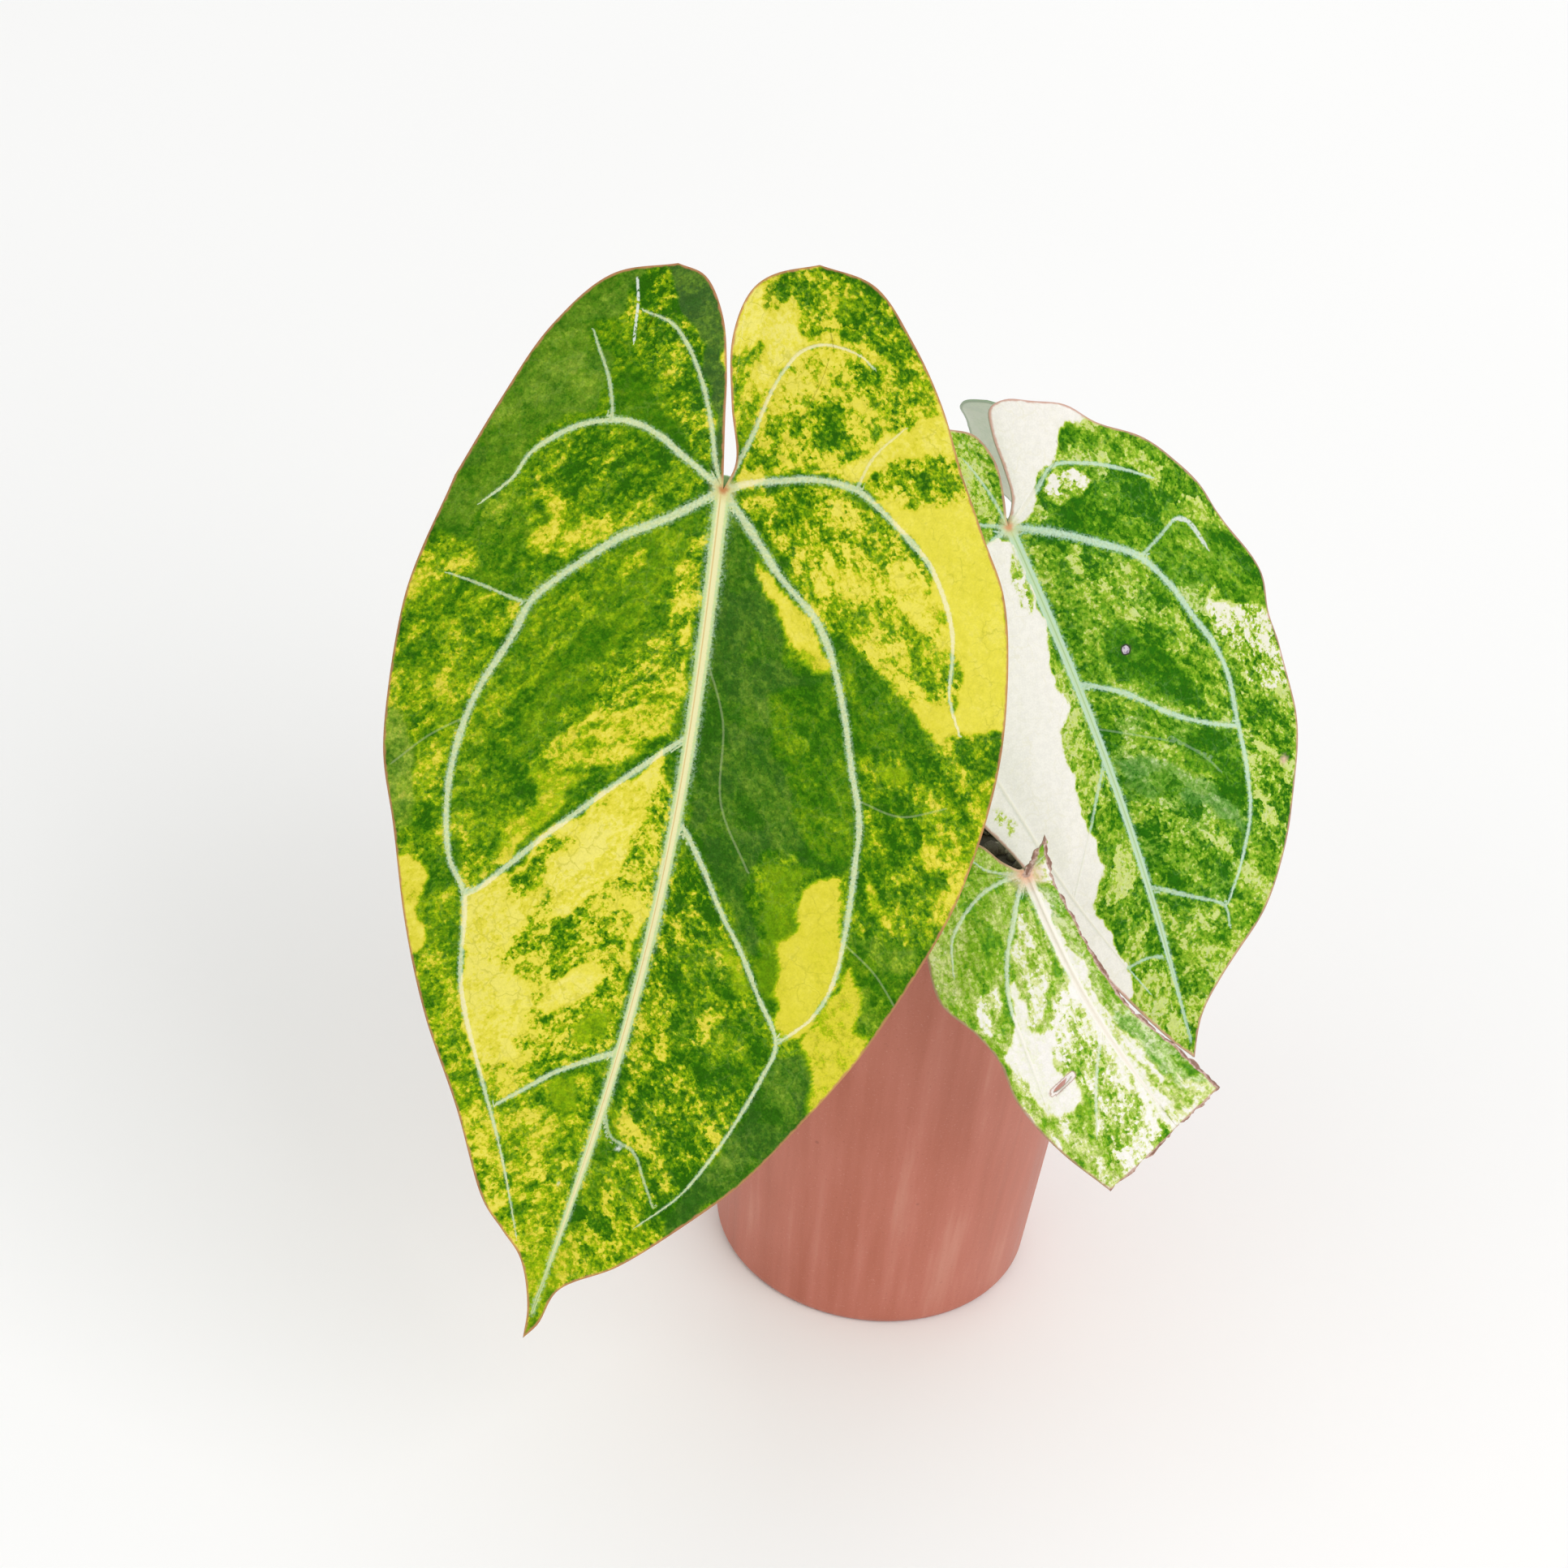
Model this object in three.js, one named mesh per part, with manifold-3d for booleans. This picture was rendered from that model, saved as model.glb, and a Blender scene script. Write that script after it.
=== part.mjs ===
// A potted crystal anthurium with variegated leaves: a nursery pot, its potting mix,
// a short crown and four heart-shaped leaves on petioles.
// Millimetres, +Z up. The origin is the centre of the pot's base, and the plant faces -Y.

import * as THREE from 'three';
import { mergeVertices } from 'three/addons/utils/BufferGeometryUtils.js';
import Module from 'manifold-3d';

const wasm = await Module();
wasm.setup();

// Pot
const potHeight = 108;
const potBaseRadius = 31;
const potRimRadius = 40;
const potWall = 1.8;
const potFloor = 2.5;
const rimBandHeight = 10;
const rimBandProud = 2.6;
const potEdge = 1;
const potSegments = 48;
const drainHoleCount = 6;
const drainHoleRadius = 3;
const drainHoleCircle = 18;
const drainHoleSides = 12;
const bodyTop = potHeight - rimBandHeight;
const bodyTopRadius = potRimRadius - rimBandProud;

// Potting mix
const mixLevel = potHeight - 10;
const mixMound = 2.5;
const mixShoulder = mixLevel - 2.5;
const mixEdgeDrop = 1.5;
const mixSegments = 40;
const mixRings = 11;
const holeSides = 20;

// Pebbles on the mix: waves in radians a millimetre, each coarse one bent by the other's direction
const coarseRelief = 0.63;
const coarseWave = { x: 1.3, y: 1.2 };
const coarseBend = { x: 2, y: 1.5 };
const coarseBendWave = { x: 0.7, y: 0.9 };
const fineRelief = 0.36;
const fineWave = { x: 2.3, y: 2.1 };
const fineShift = 1.1;
const fineSlant = 0.6;

// Clearance between pieces that touch, and the distance within which corners are one
const gap = 0.3;
const sameSpot = 1e-4;

// Crown: the short stem, half buried
const crownRadius = 6.5;
const crownBuried = 14;
const crownAbove = 7;
const crownEdge = 1.5;
const crownSides = 16;
const sheathLength = 12;
const sheathFlare = 1.7;
const sheathTip = 1.1;

// Petioles
const petioleSides = 10;
const petioleSteps = 12;
const petioleWaist = 0.18;
const kneeStart = 0.85;
const kneeSwell = 0.12;
const petioleFoot = 0.5 * crownRadius;
const petioleFootLevel = mixLevel + 0.4 * crownAbove;
const petioleUnderBlade = 1.1;

// Blades
const bladeThick = 1.3;
const marginThick = 0.8;
const rowFractions = [0, 0.32, 0.62, 0.84, 1];
const waveReach = 1.2;
const ribStep = 10;
const ribLift = 0.2;
const midribReach = 0.97;
const cutMidribReach = 0.9;
const midribPoints = 9;

// Ridges, as shares of a rib's radius or of its leaf's rib radius
const ridgeAbove = 0.25;
const ridgeBelow = 0.7;
const midribEnd = 0.35;
const veinRoot = 0.75;
const veinEnd = 0.3;

// Materials
const potClay = 0xbc6d5b;
const mixDark = 0x2b2a26;
const crownBrown = 0x8a7f4e;
const leafGreen = 0x5c8f2a;
const leafYellow = 0x9db22e;
const leafPale = 0xc3cf9d;
const leafUnder = 0xbfd2bb;
const petioleGreen = 0x7f9a4c;
const satin = 0.45;
const softSatin = 0.5;
const barky = 0.7;
const matt = 0.95;

// Leaf outlines are in the plane of each leaf: the petiole joins the blade at 0,0, the tip
// points along -Y and the two lobes along +Y. Each half has three runs of its outline:
// inner, up the sinus to the top of the lobe; shoulder, down to the side; side, to the tip.
// The lobe line is where the lobe's surface rows start.
const largeLeaf = {
  name: 'large_leaf',
  color: leafGreen,
  sinus: [-44, -23, 183],
  azimuth: 0,
  slope: 53,
  turn: -6.4,
  length: 149,
  lobeHeight: 40,
  halfWidth: 54,
  midribBow: 5.5,
  rise: 3,
  valley: 12,
  sideDroop: 5,
  tipDroop: 9,
  lobeDroop: 6,
  wave: 1.6,
  wavePitch: 40,
  wavePhase: 1,
  stations: { lobe: 8, side: 20 },
  ribRadius: 1.5,
  petiole: { radius: 2.1, crownAngle: 200, lean: 0.25, reach: 38, behind: 26, join: 0.5 },
  left: {
    lobeLine: [[0, 0], [-8, 9], [-14, 17], [-19, 23]],
    inner: [[0, 0], [-2.5, 12], [-4, 19.5], [-7, 29], [-11.5, 35], [-16.5, 36]],
    shoulder: [[-16.5, 36], [-27, 31.5], [-34.5, 21], [-40, 7], [-45, -8]],
    side: [[-45, -8], [-48.5, -31], [-46.5, -54.5], [-41.5, -68], [-36, -83.5], [-29, -98],
      [-20, -112.5], [-12, -127], [-7.5, -131.5], [-3.5, -135.5], [-0.5, -143.5], [0, -149]],
  },
  right: {
    lobeLine: [[0, 0], [7, 9], [11, 18], [13, 27]],
    inner: [[0, 0], [1, 5], [-2, 14.5], [-4.5, 25.5], [-3.5, 34], [-0.5, 38], [7, 41.5]],
    shoulder: [[7, 41.5], [17, 40], [25.5, 32], [32.5, 23], [39, 11.5]],
    side: [[39, 11.5], [45, 2], [50.5, -6.5], [54, -17.5], [56.5, -36], [55, -58.5], [49, -78],
      [44, -90.5], [36, -105], [30, -114.5], [21, -125], [13, -133], [4, -139.5], [2, -146], [0, -149]],
  },
  veins: [
    [[0, 0], [-5, 11.5], [-8, 17.5], [-11.5, 22.5], [-17.5, 26.5]],
    [[0, 0], [-8, 4], [-17.5, 7.5], [-26, 5], [-33.5, -2], [-38, -10]],
    [[-20, 7.3], [-23.5, 14.5], [-27, 20]],
    [[0, 0], [-8, -7], [-19.5, -16.5], [-27.5, -26.5], [-33, -44], [-34, -57], [-31, -71], [-26, -84.5],
      [-17, -106.5], [-8.5, -123.5], [-5, -131]],
    [[-27, -25.5], [-33, -25.5], [-41, -24.5]],
    [[0, 0], [2.5, 9], [4, 17.5], [7.5, 26], [16, 28]],
    [[0, 0], [9, 3.5], [22, 5], [32.5, -1], [40.5, -9], [45.5, -25.5], [48, -33]],
    [[21, 5.1], [23.5, 11], [27, 16]],
    [[0, 0], [8, -7.5], [21, -18.5], [32.5, -42], [36.5, -57], [37.5, -77], [31, -89]],
    [[1.5, -45], [-8.5, -55.5], [-17, -65.5], [-25.5, -76]],
    [[4, -97.5], [-4.5, -102.5], [-13, -110]],
    [[5.5, -56.5], [16, -69.5], [25.5, -82], [30, -92], [25.5, -108], [15, -124]],
    [[5.3, -110], [11, -113], [16, -120.5]],
  ],
};

const halfMoonLeaf = {
  name: 'half_moon_leaf',
  color: leafPale,
  sinus: [6, 4, 165],
  azimuth: 28,
  slope: 52,
  turn: 12.4,
  length: 103,
  lobeHeight: 22,
  halfWidth: 38,
  midribBow: 2.2,
  rise: 2.5,
  valley: 10,
  sideDroop: 5,
  tipDroop: 6,
  lobeDroop: 4,
  wave: 1.4,
  wavePitch: 32,
  wavePhase: 0.6,
  stations: { lobe: 6, side: 17 },
  ribRadius: 1.3,
  petiole: { radius: 1.9, crownAngle: 20, lean: 0.2, reach: 26, behind: 20, join: 0.5 },
  left: {
    lobeLine: [[0, 0], [-5, 5], [-9, 10]],
    inner: [[0, 0], [1.5, 5.5], [2.5, 12], [1, 17.5], [-3, 20]],
    shoulder: [[-3, 20], [-11, 18], [-17, 13.5], [-21, 8]],
    side: [[-21, 8], [-27, -7], [-29, -24], [-27, -41], [-20.5, -57], [-14.5, -77], [-5, -96], [0, -103]],
  },
  right: {
    lobeLine: [[0, 0], [8, 5], [15, 8]],
    inner: [[0, 0], [2.5, 4], [3.5, 10], [4.2, 16], [6, 20.5], [9.5, 21], [14, 19]],
    shoulder: [[14, 19], [20, 16], [24, 11], [31.5, 5.5], [36.5, -0.5], [41.5, -7.5], [43.5, -14]],
    side: [[43.5, -14], [46, -26], [45.3, -33], [46.5, -40.5], [44.5, -50], [38.5, -62.5], [33, -73],
      [23.5, -82.5], [9.5, -91], [4, -96], [0, -103]],
  },
  veins: [
    [[0, 0], [7, 4], [12, 6.5], [17.5, 5.5], [30, -1.5]],
    [[0, 0], [7.5, -4], [22.5, -14.5], [28, -27.5], [31.5, -40], [28.5, -57.5], [22, -72], [16, -79]],
    [[21.5, -13.5], [28, -12.5], [36, -14]],
    [[2.2, -31], [10, -36], [20, -45], [29.5, -50]],
    [[1.8, -70.5], [9, -75], [16, -80]],
    [[0, 0], [-8, -3], [-16, -13], [-20, -30], [-17, -52], [-10, -76], [-5, -88]],
    [[0, 0], [-3, 6], [-7, 12]],
    [[0, 0], [-8, 3], [-15, 3]],
    [[2.1, -45], [-6, -56], [-13, -66]],
  ],
};

const trimmedLeaf = {
  name: 'trimmed_leaf',
  color: leafYellow,
  sinus: [16, -42, 124],
  azimuth: 5,
  slope: 58,
  turn: 35.5,
  length: 53.5,
  lobeHeight: 12,
  halfWidth: 24,
  midribBow: -2.3,
  rise: 1.5,
  valley: 7,
  sideDroop: 3,
  tipDroop: 3,
  lobeDroop: 2,
  wave: 0.8,
  wavePitch: 24,
  wavePhase: 0.4,
  stations: { lobe: 5, side: 13, cut: 3 },
  ribRadius: 1.1,
  petiole: { radius: 1.7, crownAngle: 285, lean: 2.2, reach: 24, behind: 4, join: -2 },
  left: {
    lobeLine: [[0, 0], [-5, 3], [-10, 6]],
    inner: [[0, 0], [-2.5, 4], [-4, 8], [-7, 11.5]],
    shoulder: [[-7, 11.5], [-12, 11.5], [-16.5, 9], [-20.5, 3.5], [-22, -3]],
    side: [[-22, -3], [-24.5, -12], [-22, -20], [-21, -26.5], [-22, -34.5], [-20, -46], [-16, -57]],
    cut: [[-16, -57], [0, -53.5]],
  },
  right: {
    lobeLine: [[0, 0], [2, 1], [3.8, 2]],
    inner: [[0, 0], [3.5, 2.5], [6, 4]],
    shoulder: [[6, 4], [4.7, 0], [4, -3], [3.5, -7.5]],
    side: [[3.5, -7.5], [3, -17.5], [3.5, -29], [7, -40], [10, -51]],
    cut: [[10, -51], [0, -53.5]],
  },
  veins: [
    [[0, 0], [-6.5, -6.5], [-12, -14], [-16, -23], [-18, -36]],
    [[0, 0], [-8, 1], [-14, -1.5], [-19, -8]],
    [[-2, -30], [-8, -38], [-13, -47]],
  ],
};

const backHalf = {
  lobeLine: [[0, 0], [5, 4], [8.5, 7.5]],
  inner: [[0, 0], [1.5, 5], [3, 11], [6, 16], [10, 17]],
  shoulder: [[10, 17], [16, 14.5], [20, 8.5], [21.5, 1.5]],
  side: [[21.5, 1.5], [21.5, -10], [18.5, -26], [13, -42], [6.5, -56], [2.5, -63], [0, -72]],
};

const backVeins = [
  [[0, 0], [6.5, -3.5], [12.5, -14], [13, -30], [9, -45], [4.5, -58]],
  [[0, 0], [4, 5], [9.5, 11]],
  [[0, 0], [8, 2], [15.5, -2]],
];

const mirrorLine = (line) => line.map(([x, y]) => [-x, y]);

const mirrorHalf = (half) => Object.fromEntries(
  Object.entries(half).map(([run, line]) => [run, mirrorLine(line)]),
);

const backLeaf = {
  name: 'back_leaf',
  color: leafUnder,
  sinus: [17, 54, 149],
  azimuth: 150,
  slope: 60,
  turn: -10,
  length: 72,
  lobeHeight: 17,
  halfWidth: 21.5,
  midribBow: 0,
  rise: 2,
  valley: 8,
  sideDroop: 3,
  tipDroop: 6,
  lobeDroop: 3,
  wave: 1,
  wavePitch: 30,
  wavePhase: 0.8,
  stations: { lobe: 5, side: 13 },
  ribRadius: 1.2,
  petiole: { radius: 1.8, crownAngle: 100, lean: 0.4, reach: 24, behind: 20, join: 0.5 },
  left: mirrorHalf(backHalf),
  right: backHalf,
  veins: [...backVeins, ...backVeins.map(mirrorLine)],
};

const leaves = [largeLeaf, halfMoonLeaf, trimmedLeaf, backLeaf];

// Joining and cutting
function toSolid(geometry) {
  const bare = geometry.clone();
  bare.deleteAttribute('normal');
  bare.deleteAttribute('uv');
  const merged = mergeVertices(bare, sameSpot);
  const triVerts = [];
  for (let i = 0; i < merged.index.count; i += 3) {
    const corners = [0, 1, 2].map((c) => merged.index.getX(i + c));
    if (new Set(corners).size === 3) triVerts.push(...corners);
  }
  return new wasm.Manifold(new wasm.Mesh({
    numProp: 3,
    vertProperties: new Float32Array(merged.attributes.position.array),
    triVerts: new Uint32Array(triVerts),
  }));
}

function toGeometry(solid) {
  const mesh = solid.getMesh();
  const geometry = new THREE.BufferGeometry();
  geometry.setAttribute('position', new THREE.BufferAttribute(new Float32Array(mesh.vertProperties), 3));
  geometry.setIndex(new THREE.BufferAttribute(new Uint32Array(mesh.triVerts), 1));
  geometry.computeVertexNormals();
  return geometry;
}

function makeMesh(name, geometry, color, roughness) {
  const material = new THREE.MeshStandardMaterial({ color, roughness, metalness: 0 });
  const mesh = new THREE.Mesh(geometry, material);
  mesh.name = name;
  return mesh;
}

// A closed solid through rings of points, each ring in the same turning sense
function ringSolid(rings) {
  const sides = rings[0].length;
  const positions = rings.flat().flatMap((point) => point.toArray());
  const index = [];
  for (let r = 0; r < rings.length - 1; r += 1) {
    for (let s = 0; s < sides; s += 1) {
      const a = r * sides + s;
      const b = r * sides + ((s + 1) % sides);
      index.push(a, b, b + sides, a, b + sides, a + sides);
    }
  }
  const last = (rings.length - 1) * sides;
  for (let s = 1; s < sides - 1; s += 1) {
    index.push(0, s + 1, s);
    index.push(last, last + s, last + s + 1);
  }
  const geometry = new THREE.BufferGeometry();
  geometry.setAttribute('position', new THREE.BufferAttribute(new Float32Array(positions), 3));
  geometry.setIndex(index);
  return geometry;
}

// Round tube along a curve, with a radius that varies along it
function taperedTube(curve, steps, radiusAt, sides) {
  const frames = curve.computeFrenetFrames(steps, false);
  const rings = [];
  for (let i = 0; i <= steps; i += 1) {
    const centre = curve.getPointAt(i / steps);
    const ring = [];
    for (let s = 0; s < sides; s += 1) {
      const angle = (2 * Math.PI * s) / sides;
      const offset = frames.normals[i].clone().multiplyScalar(Math.cos(angle))
        .addScaledVector(frames.binormals[i], Math.sin(angle));
      ring.push(centre.clone().addScaledVector(offset, radiusAt(i / steps)));
    }
    rings.push(ring);
  }
  return ringSolid(rings);
}

// Pot
function potProfile() {
  const outer = [
    [0, 0], [potBaseRadius - potEdge, 0], [potBaseRadius, potEdge],
    [bodyTopRadius, bodyTop], [potRimRadius - potEdge / 2, bodyTop + potEdge],
    [potRimRadius, potHeight - potEdge], [potRimRadius - potEdge / 2, potHeight],
  ];
  const inner = [
    [potRimRadius - potWall, potHeight], [potRimRadius - potWall - potEdge / 2, bodyTop + potWall],
    [bodyTopRadius - potWall, bodyTop - potWall], [potBaseRadius - potWall, potFloor],
    [0, potFloor],
  ];
  return [...outer, ...inner];
}

function makePot() {
  const points = potProfile().map(([r, z]) => new THREE.Vector2(r, z));
  const body = new THREE.LatheGeometry(points, potSegments).rotateX(Math.PI / 2);
  let solid = toSolid(body);
  for (let i = 0; i < drainHoleCount; i += 1) {
    const angle = (2 * Math.PI * i) / drainHoleCount;
    const hole = new THREE.CylinderGeometry(drainHoleRadius, drainHoleRadius, 3 * potFloor, drainHoleSides)
      .rotateX(Math.PI / 2)
      .translate(drainHoleCircle * Math.cos(angle), drainHoleCircle * Math.sin(angle), potFloor / 2);
    solid = solid.subtract(toSolid(hole));
  }
  return makeMesh('pot', toGeometry(solid), potClay, satin);
}

// Potting mix: fills the pot up to below the rim, with a pebbly top
function innerWallRadius(z) {
  const lower = potBaseRadius - potWall;
  const upper = bodyTopRadius - potWall;
  return lower + ((upper - lower) * (z - potFloor)) / (bodyTop - potWall - potFloor);
}

function pebbles(x, y) {
  const bentX = coarseWave.x * x + coarseBend.x * Math.sin(coarseBendWave.x * y);
  const bentY = coarseWave.y * y + coarseBend.y * Math.sin(coarseBendWave.y * x);
  const coarse = Math.sin(bentX) * Math.sin(bentY);
  const fine = Math.sin(fineWave.x * x + fineShift) * Math.cos(fineWave.y * y + fineSlant * x);
  return coarseRelief * coarse + fineRelief * fine;
}

function makePottingMix() {
  const bottom = potFloor + gap;
  const topRadius = innerWallRadius(mixShoulder) - gap;
  const profile = [[0, bottom], [innerWallRadius(bottom) - gap, bottom], [topRadius, mixShoulder]];
  for (let ring = 1; ring <= mixRings; ring += 1) {
    const share = 1 - ring / mixRings;
    profile.push([topRadius * share, mixLevel - mixEdgeDrop + mixMound * (1 - share * share)]);
  }
  const points = profile.map(([r, z]) => new THREE.Vector2(r, z));
  const geometry = new THREE.LatheGeometry(points, mixSegments).rotateX(Math.PI / 2);
  const position = geometry.attributes.position;
  for (let i = 0; i < position.count; i += 1) {
    if (position.getZ(i) > mixShoulder + potEdge / 2) {
      position.setZ(i, position.getZ(i) + pebbles(position.getX(i), position.getY(i)));
    }
  }
  const holeRadius = crownRadius + gap;
  const holeLength = 2 * crownBuried;
  const hole = new THREE.CylinderGeometry(holeRadius, holeRadius, holeLength, holeSides)
    .rotateX(Math.PI / 2)
    .translate(0, 0, mixLevel - crownBuried - gap + holeLength / 2);
  const solid = toSolid(geometry).subtract(toSolid(hole));
  return makeMesh('potting_mix', toGeometry(solid), mixDark, matt);
}

// Placing a leaf: its plane is turned about Z, tilted back by its slope, then turned in itself
function leafMatrix(leaf) {
  const radians = THREE.MathUtils.degToRad;
  return new THREE.Matrix4().makeRotationZ(radians(leaf.azimuth))
    .multiply(new THREE.Matrix4().makeRotationX(radians(leaf.slope)))
    .multiply(new THREE.Matrix4().makeRotationZ(radians(leaf.turn)))
    .setPosition(...leaf.sinus);
}

function midribPoint(leaf, share) {
  return [leaf.midribBow * Math.sin(Math.PI * share), -leaf.length * share];
}

// Height of the blade's middle surface over the leaf's plane: a valley along the midrib,
// drooping sides, tip and lobes, and waves that grow towards the margin
function bladeHeight(leaf, x, y) {
  const along = Math.min(Math.max(-y / leaf.length, 0), 1);
  const across = Math.abs(x - leaf.midribBow * Math.sin(Math.PI * along));
  const side = across / leaf.halfWidth;
  const valley = leaf.rise * (1 - Math.exp(-across / leaf.valley));
  const droop = y < 0 ? leaf.tipDroop * along * along : leaf.lobeDroop * (y / leaf.lobeHeight) ** 2;
  const turn = (2 * Math.PI * y) / leaf.wavePitch + leaf.wavePhase * Math.sign(x);
  const wave = leaf.wave * Math.sin(turn) * Math.min(side, waveReach) ** 2;
  return valley - droop - leaf.sideDroop * side * side + wave;
}

function smoothLine(points) {
  const vectors = points.map(([x, y]) => new THREE.Vector3(x, y, 0));
  if (vectors.length === 2) return new THREE.LineCurve3(...vectors);
  return new THREE.CatmullRomCurve3(vectors, false, 'centripetal');
}

function sampleLine(points, count) {
  const curve = smoothLine(points);
  return Array.from({ length: count + 1 }, (_, i) => {
    const point = curve.getPointAt(i / count);
    return [point.x, point.y];
  });
}

// Columns of one half of the blade, each from the midrib or lobe line out to the outline
function halfColumns(leaf, half) {
  const { lobe, side, cut = 0 } = leaf.stations;
  const lobeLine = sampleLine(half.lobeLine, lobe);
  const midribShares = Array.from({ length: side + cut + 1 }, (_, i) => i / (side + cut));
  const spine = [
    ...lobeLine,
    ...lobeLine.slice(0, -1).reverse(),
    ...midribShares.slice(1).map((share) => midribPoint(leaf, share)),
  ];
  const edge = [
    ...sampleLine(half.inner, lobe),
    ...sampleLine(half.shoulder, lobe).slice(1),
    ...sampleLine(half.side, side).slice(1),
    ...(cut ? sampleLine(half.cut, cut).slice(1) : []),
  ];
  return spine.map((from, i) => ({ from, to: edge[i] }));
}

// Plan of the blade: shared points with their share of the way to the margin, and triangles
function bladePlan(leaf) {
  const points = [];
  const known = new Map();
  const addPoint = (x, y, share) => {
    const key = `${x.toFixed(3)},${y.toFixed(3)}`;
    if (!known.has(key)) {
      known.set(key, points.length);
      points.push({ x, y, share });
    }
    return known.get(key);
  };
  const triangles = [];
  const addTriangle = (a, b, c) => {
    if (a !== b && b !== c && c !== a) triangles.push([a, b, c]);
  };
  for (const [half, turn] of [[leaf.left, 1], [leaf.right, -1]]) {
    const rows = halfColumns(leaf, half).map(({ from, to }) => rowFractions.map((share) => addPoint(
      from[0] + (to[0] - from[0]) * share,
      from[1] + (to[1] - from[1]) * share,
      share,
    )));
    for (let column = 0; column < rows.length - 1; column += 1) {
      for (let row = 0; row < rowFractions.length - 1; row += 1) {
        const a = rows[column][row];
        const b = rows[column][row + 1];
        const c = rows[column + 1][row + 1];
        const d = rows[column + 1][row];
        if (turn > 0) {
          addTriangle(a, b, c);
          addTriangle(a, c, d);
        } else {
          addTriangle(a, c, b);
          addTriangle(a, d, c);
        }
      }
    }
  }
  return { points, triangles };
}

// The blade as a thin solid: the plan's triangles above and below, and a wall round the margin
function bladeGeometry(leaf) {
  const { points, triangles } = bladePlan(leaf);
  const positions = [];
  for (const face of [1, -1]) {
    for (const { x, y, share } of points) {
      const thick = bladeThick + (marginThick - bladeThick) * share;
      positions.push(x, y, bladeHeight(leaf, x, y) + (face * thick) / 2);
    }
  }
  const below = points.length;
  const index = [];
  const edges = new Set(triangles.flatMap(([a, b, c]) => [`${a}_${b}`, `${b}_${c}`, `${c}_${a}`]));
  for (const [a, b, c] of triangles) {
    index.push(a, b, c, a + below, c + below, b + below);
    for (const [from, to] of [[a, b], [b, c], [c, a]]) {
      if (!edges.has(`${to}_${from}`)) {
        index.push(from, from + below, to + below, from, to + below, to);
      }
    }
  }
  const geometry = new THREE.BufferGeometry();
  geometry.setAttribute('position', new THREE.BufferAttribute(new Float32Array(positions), 3));
  geometry.setIndex(index);
  return geometry;
}

// A vein: a slim ridge on the blade's upper face and a stouter one below, tapering to its end
function ribGeometry(leaf, line, rootRadius, endRadius) {
  const curve = smoothLine(line);
  const steps = Math.max(2, Math.round(curve.getLength() / ribStep));
  const rings = [];
  for (let i = 0; i <= steps; i += 1) {
    const share = i / steps;
    const radius = rootRadius + (endRadius - rootRadius) * share;
    const centre = curve.getPointAt(share);
    const along = curve.getTangentAt(share);
    const across = new THREE.Vector3(-along.y, along.x, 0).multiplyScalar(radius);
    const corner = (offset, lift) => {
      const x = centre.x + offset * across.x;
      const y = centre.y + offset * across.y;
      return new THREE.Vector3(x, y, bladeHeight(leaf, x, y) + lift);
    };
    const sink = bladeThick / 2;
    rings.push([
      corner(1, 0),
      corner(0, sink + ribLift + ridgeAbove * radius),
      corner(-1, 0),
      corner(0, -sink - ridgeBelow * radius),
    ]);
  }
  return ringSolid(rings);
}

function makeBlade(leaf) {
  const reach = leaf.stations.cut ? cutMidribReach : midribReach;
  const midrib = Array.from({ length: midribPoints }, (_, i) => (
    midribPoint(leaf, (reach * i) / (midribPoints - 1))
  ));
  let solid = toSolid(bladeGeometry(leaf));
  const { ribRadius } = leaf;
  solid = solid.add(toSolid(ribGeometry(leaf, midrib, ribRadius, midribEnd * ribRadius)));
  for (const vein of leaf.veins) {
    solid = solid.add(toSolid(ribGeometry(leaf, vein, veinRoot * ribRadius, veinEnd * ribRadius)));
  }
  const blade = makeMesh(`${leaf.name}_blade`, toGeometry(solid), leaf.color, satin);
  blade.applyMatrix4(leafMatrix(leaf));
  return blade;
}

// Petiole: rises from the crown, leans out and comes to the blade from behind. Its waist is
// slimmer, and the knee just under the blade swells.
function petiolePath(leaf) {
  const { crownAngle, lean, reach, behind, join } = leaf.petiole;
  const angle = THREE.MathUtils.degToRad(crownAngle);
  const outward = new THREE.Vector3(Math.cos(angle) * lean, Math.sin(angle) * lean, 1).normalize();
  const start = new THREE.Vector3(
    Math.cos(angle) * petioleFoot,
    Math.sin(angle) * petioleFoot,
    petioleFootLevel,
  ).addScaledVector(outward, sheathLength);
  const matrix = leafMatrix(leaf);
  const end = new THREE.Vector3(0, join, -bladeThick / 2 - petioleUnderBlade - gap).applyMatrix4(matrix);
  const normal = new THREE.Vector3().setFromMatrixColumn(matrix, 2);
  return {
    outward,
    curve: new THREE.CubicBezierCurve3(
      start,
      start.clone().addScaledVector(outward, reach),
      end.clone().addScaledVector(normal, -behind),
      end,
    ),
  };
}

function makePetiole(leaf) {
  const { curve } = petiolePath(leaf);
  const { radius } = leaf.petiole;
  const radiusAt = (share) => {
    const waist = petioleWaist * Math.sin(Math.PI * Math.min(share / kneeStart, 1));
    return radius * (1 - waist + (share > kneeStart ? kneeSwell : 0));
  };
  const tube = taperedTube(curve, petioleSteps, radiusAt, petioleSides);
  return makeMesh(`${leaf.name}_petiole`, tube, petioleGreen, softSatin);
}

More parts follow.
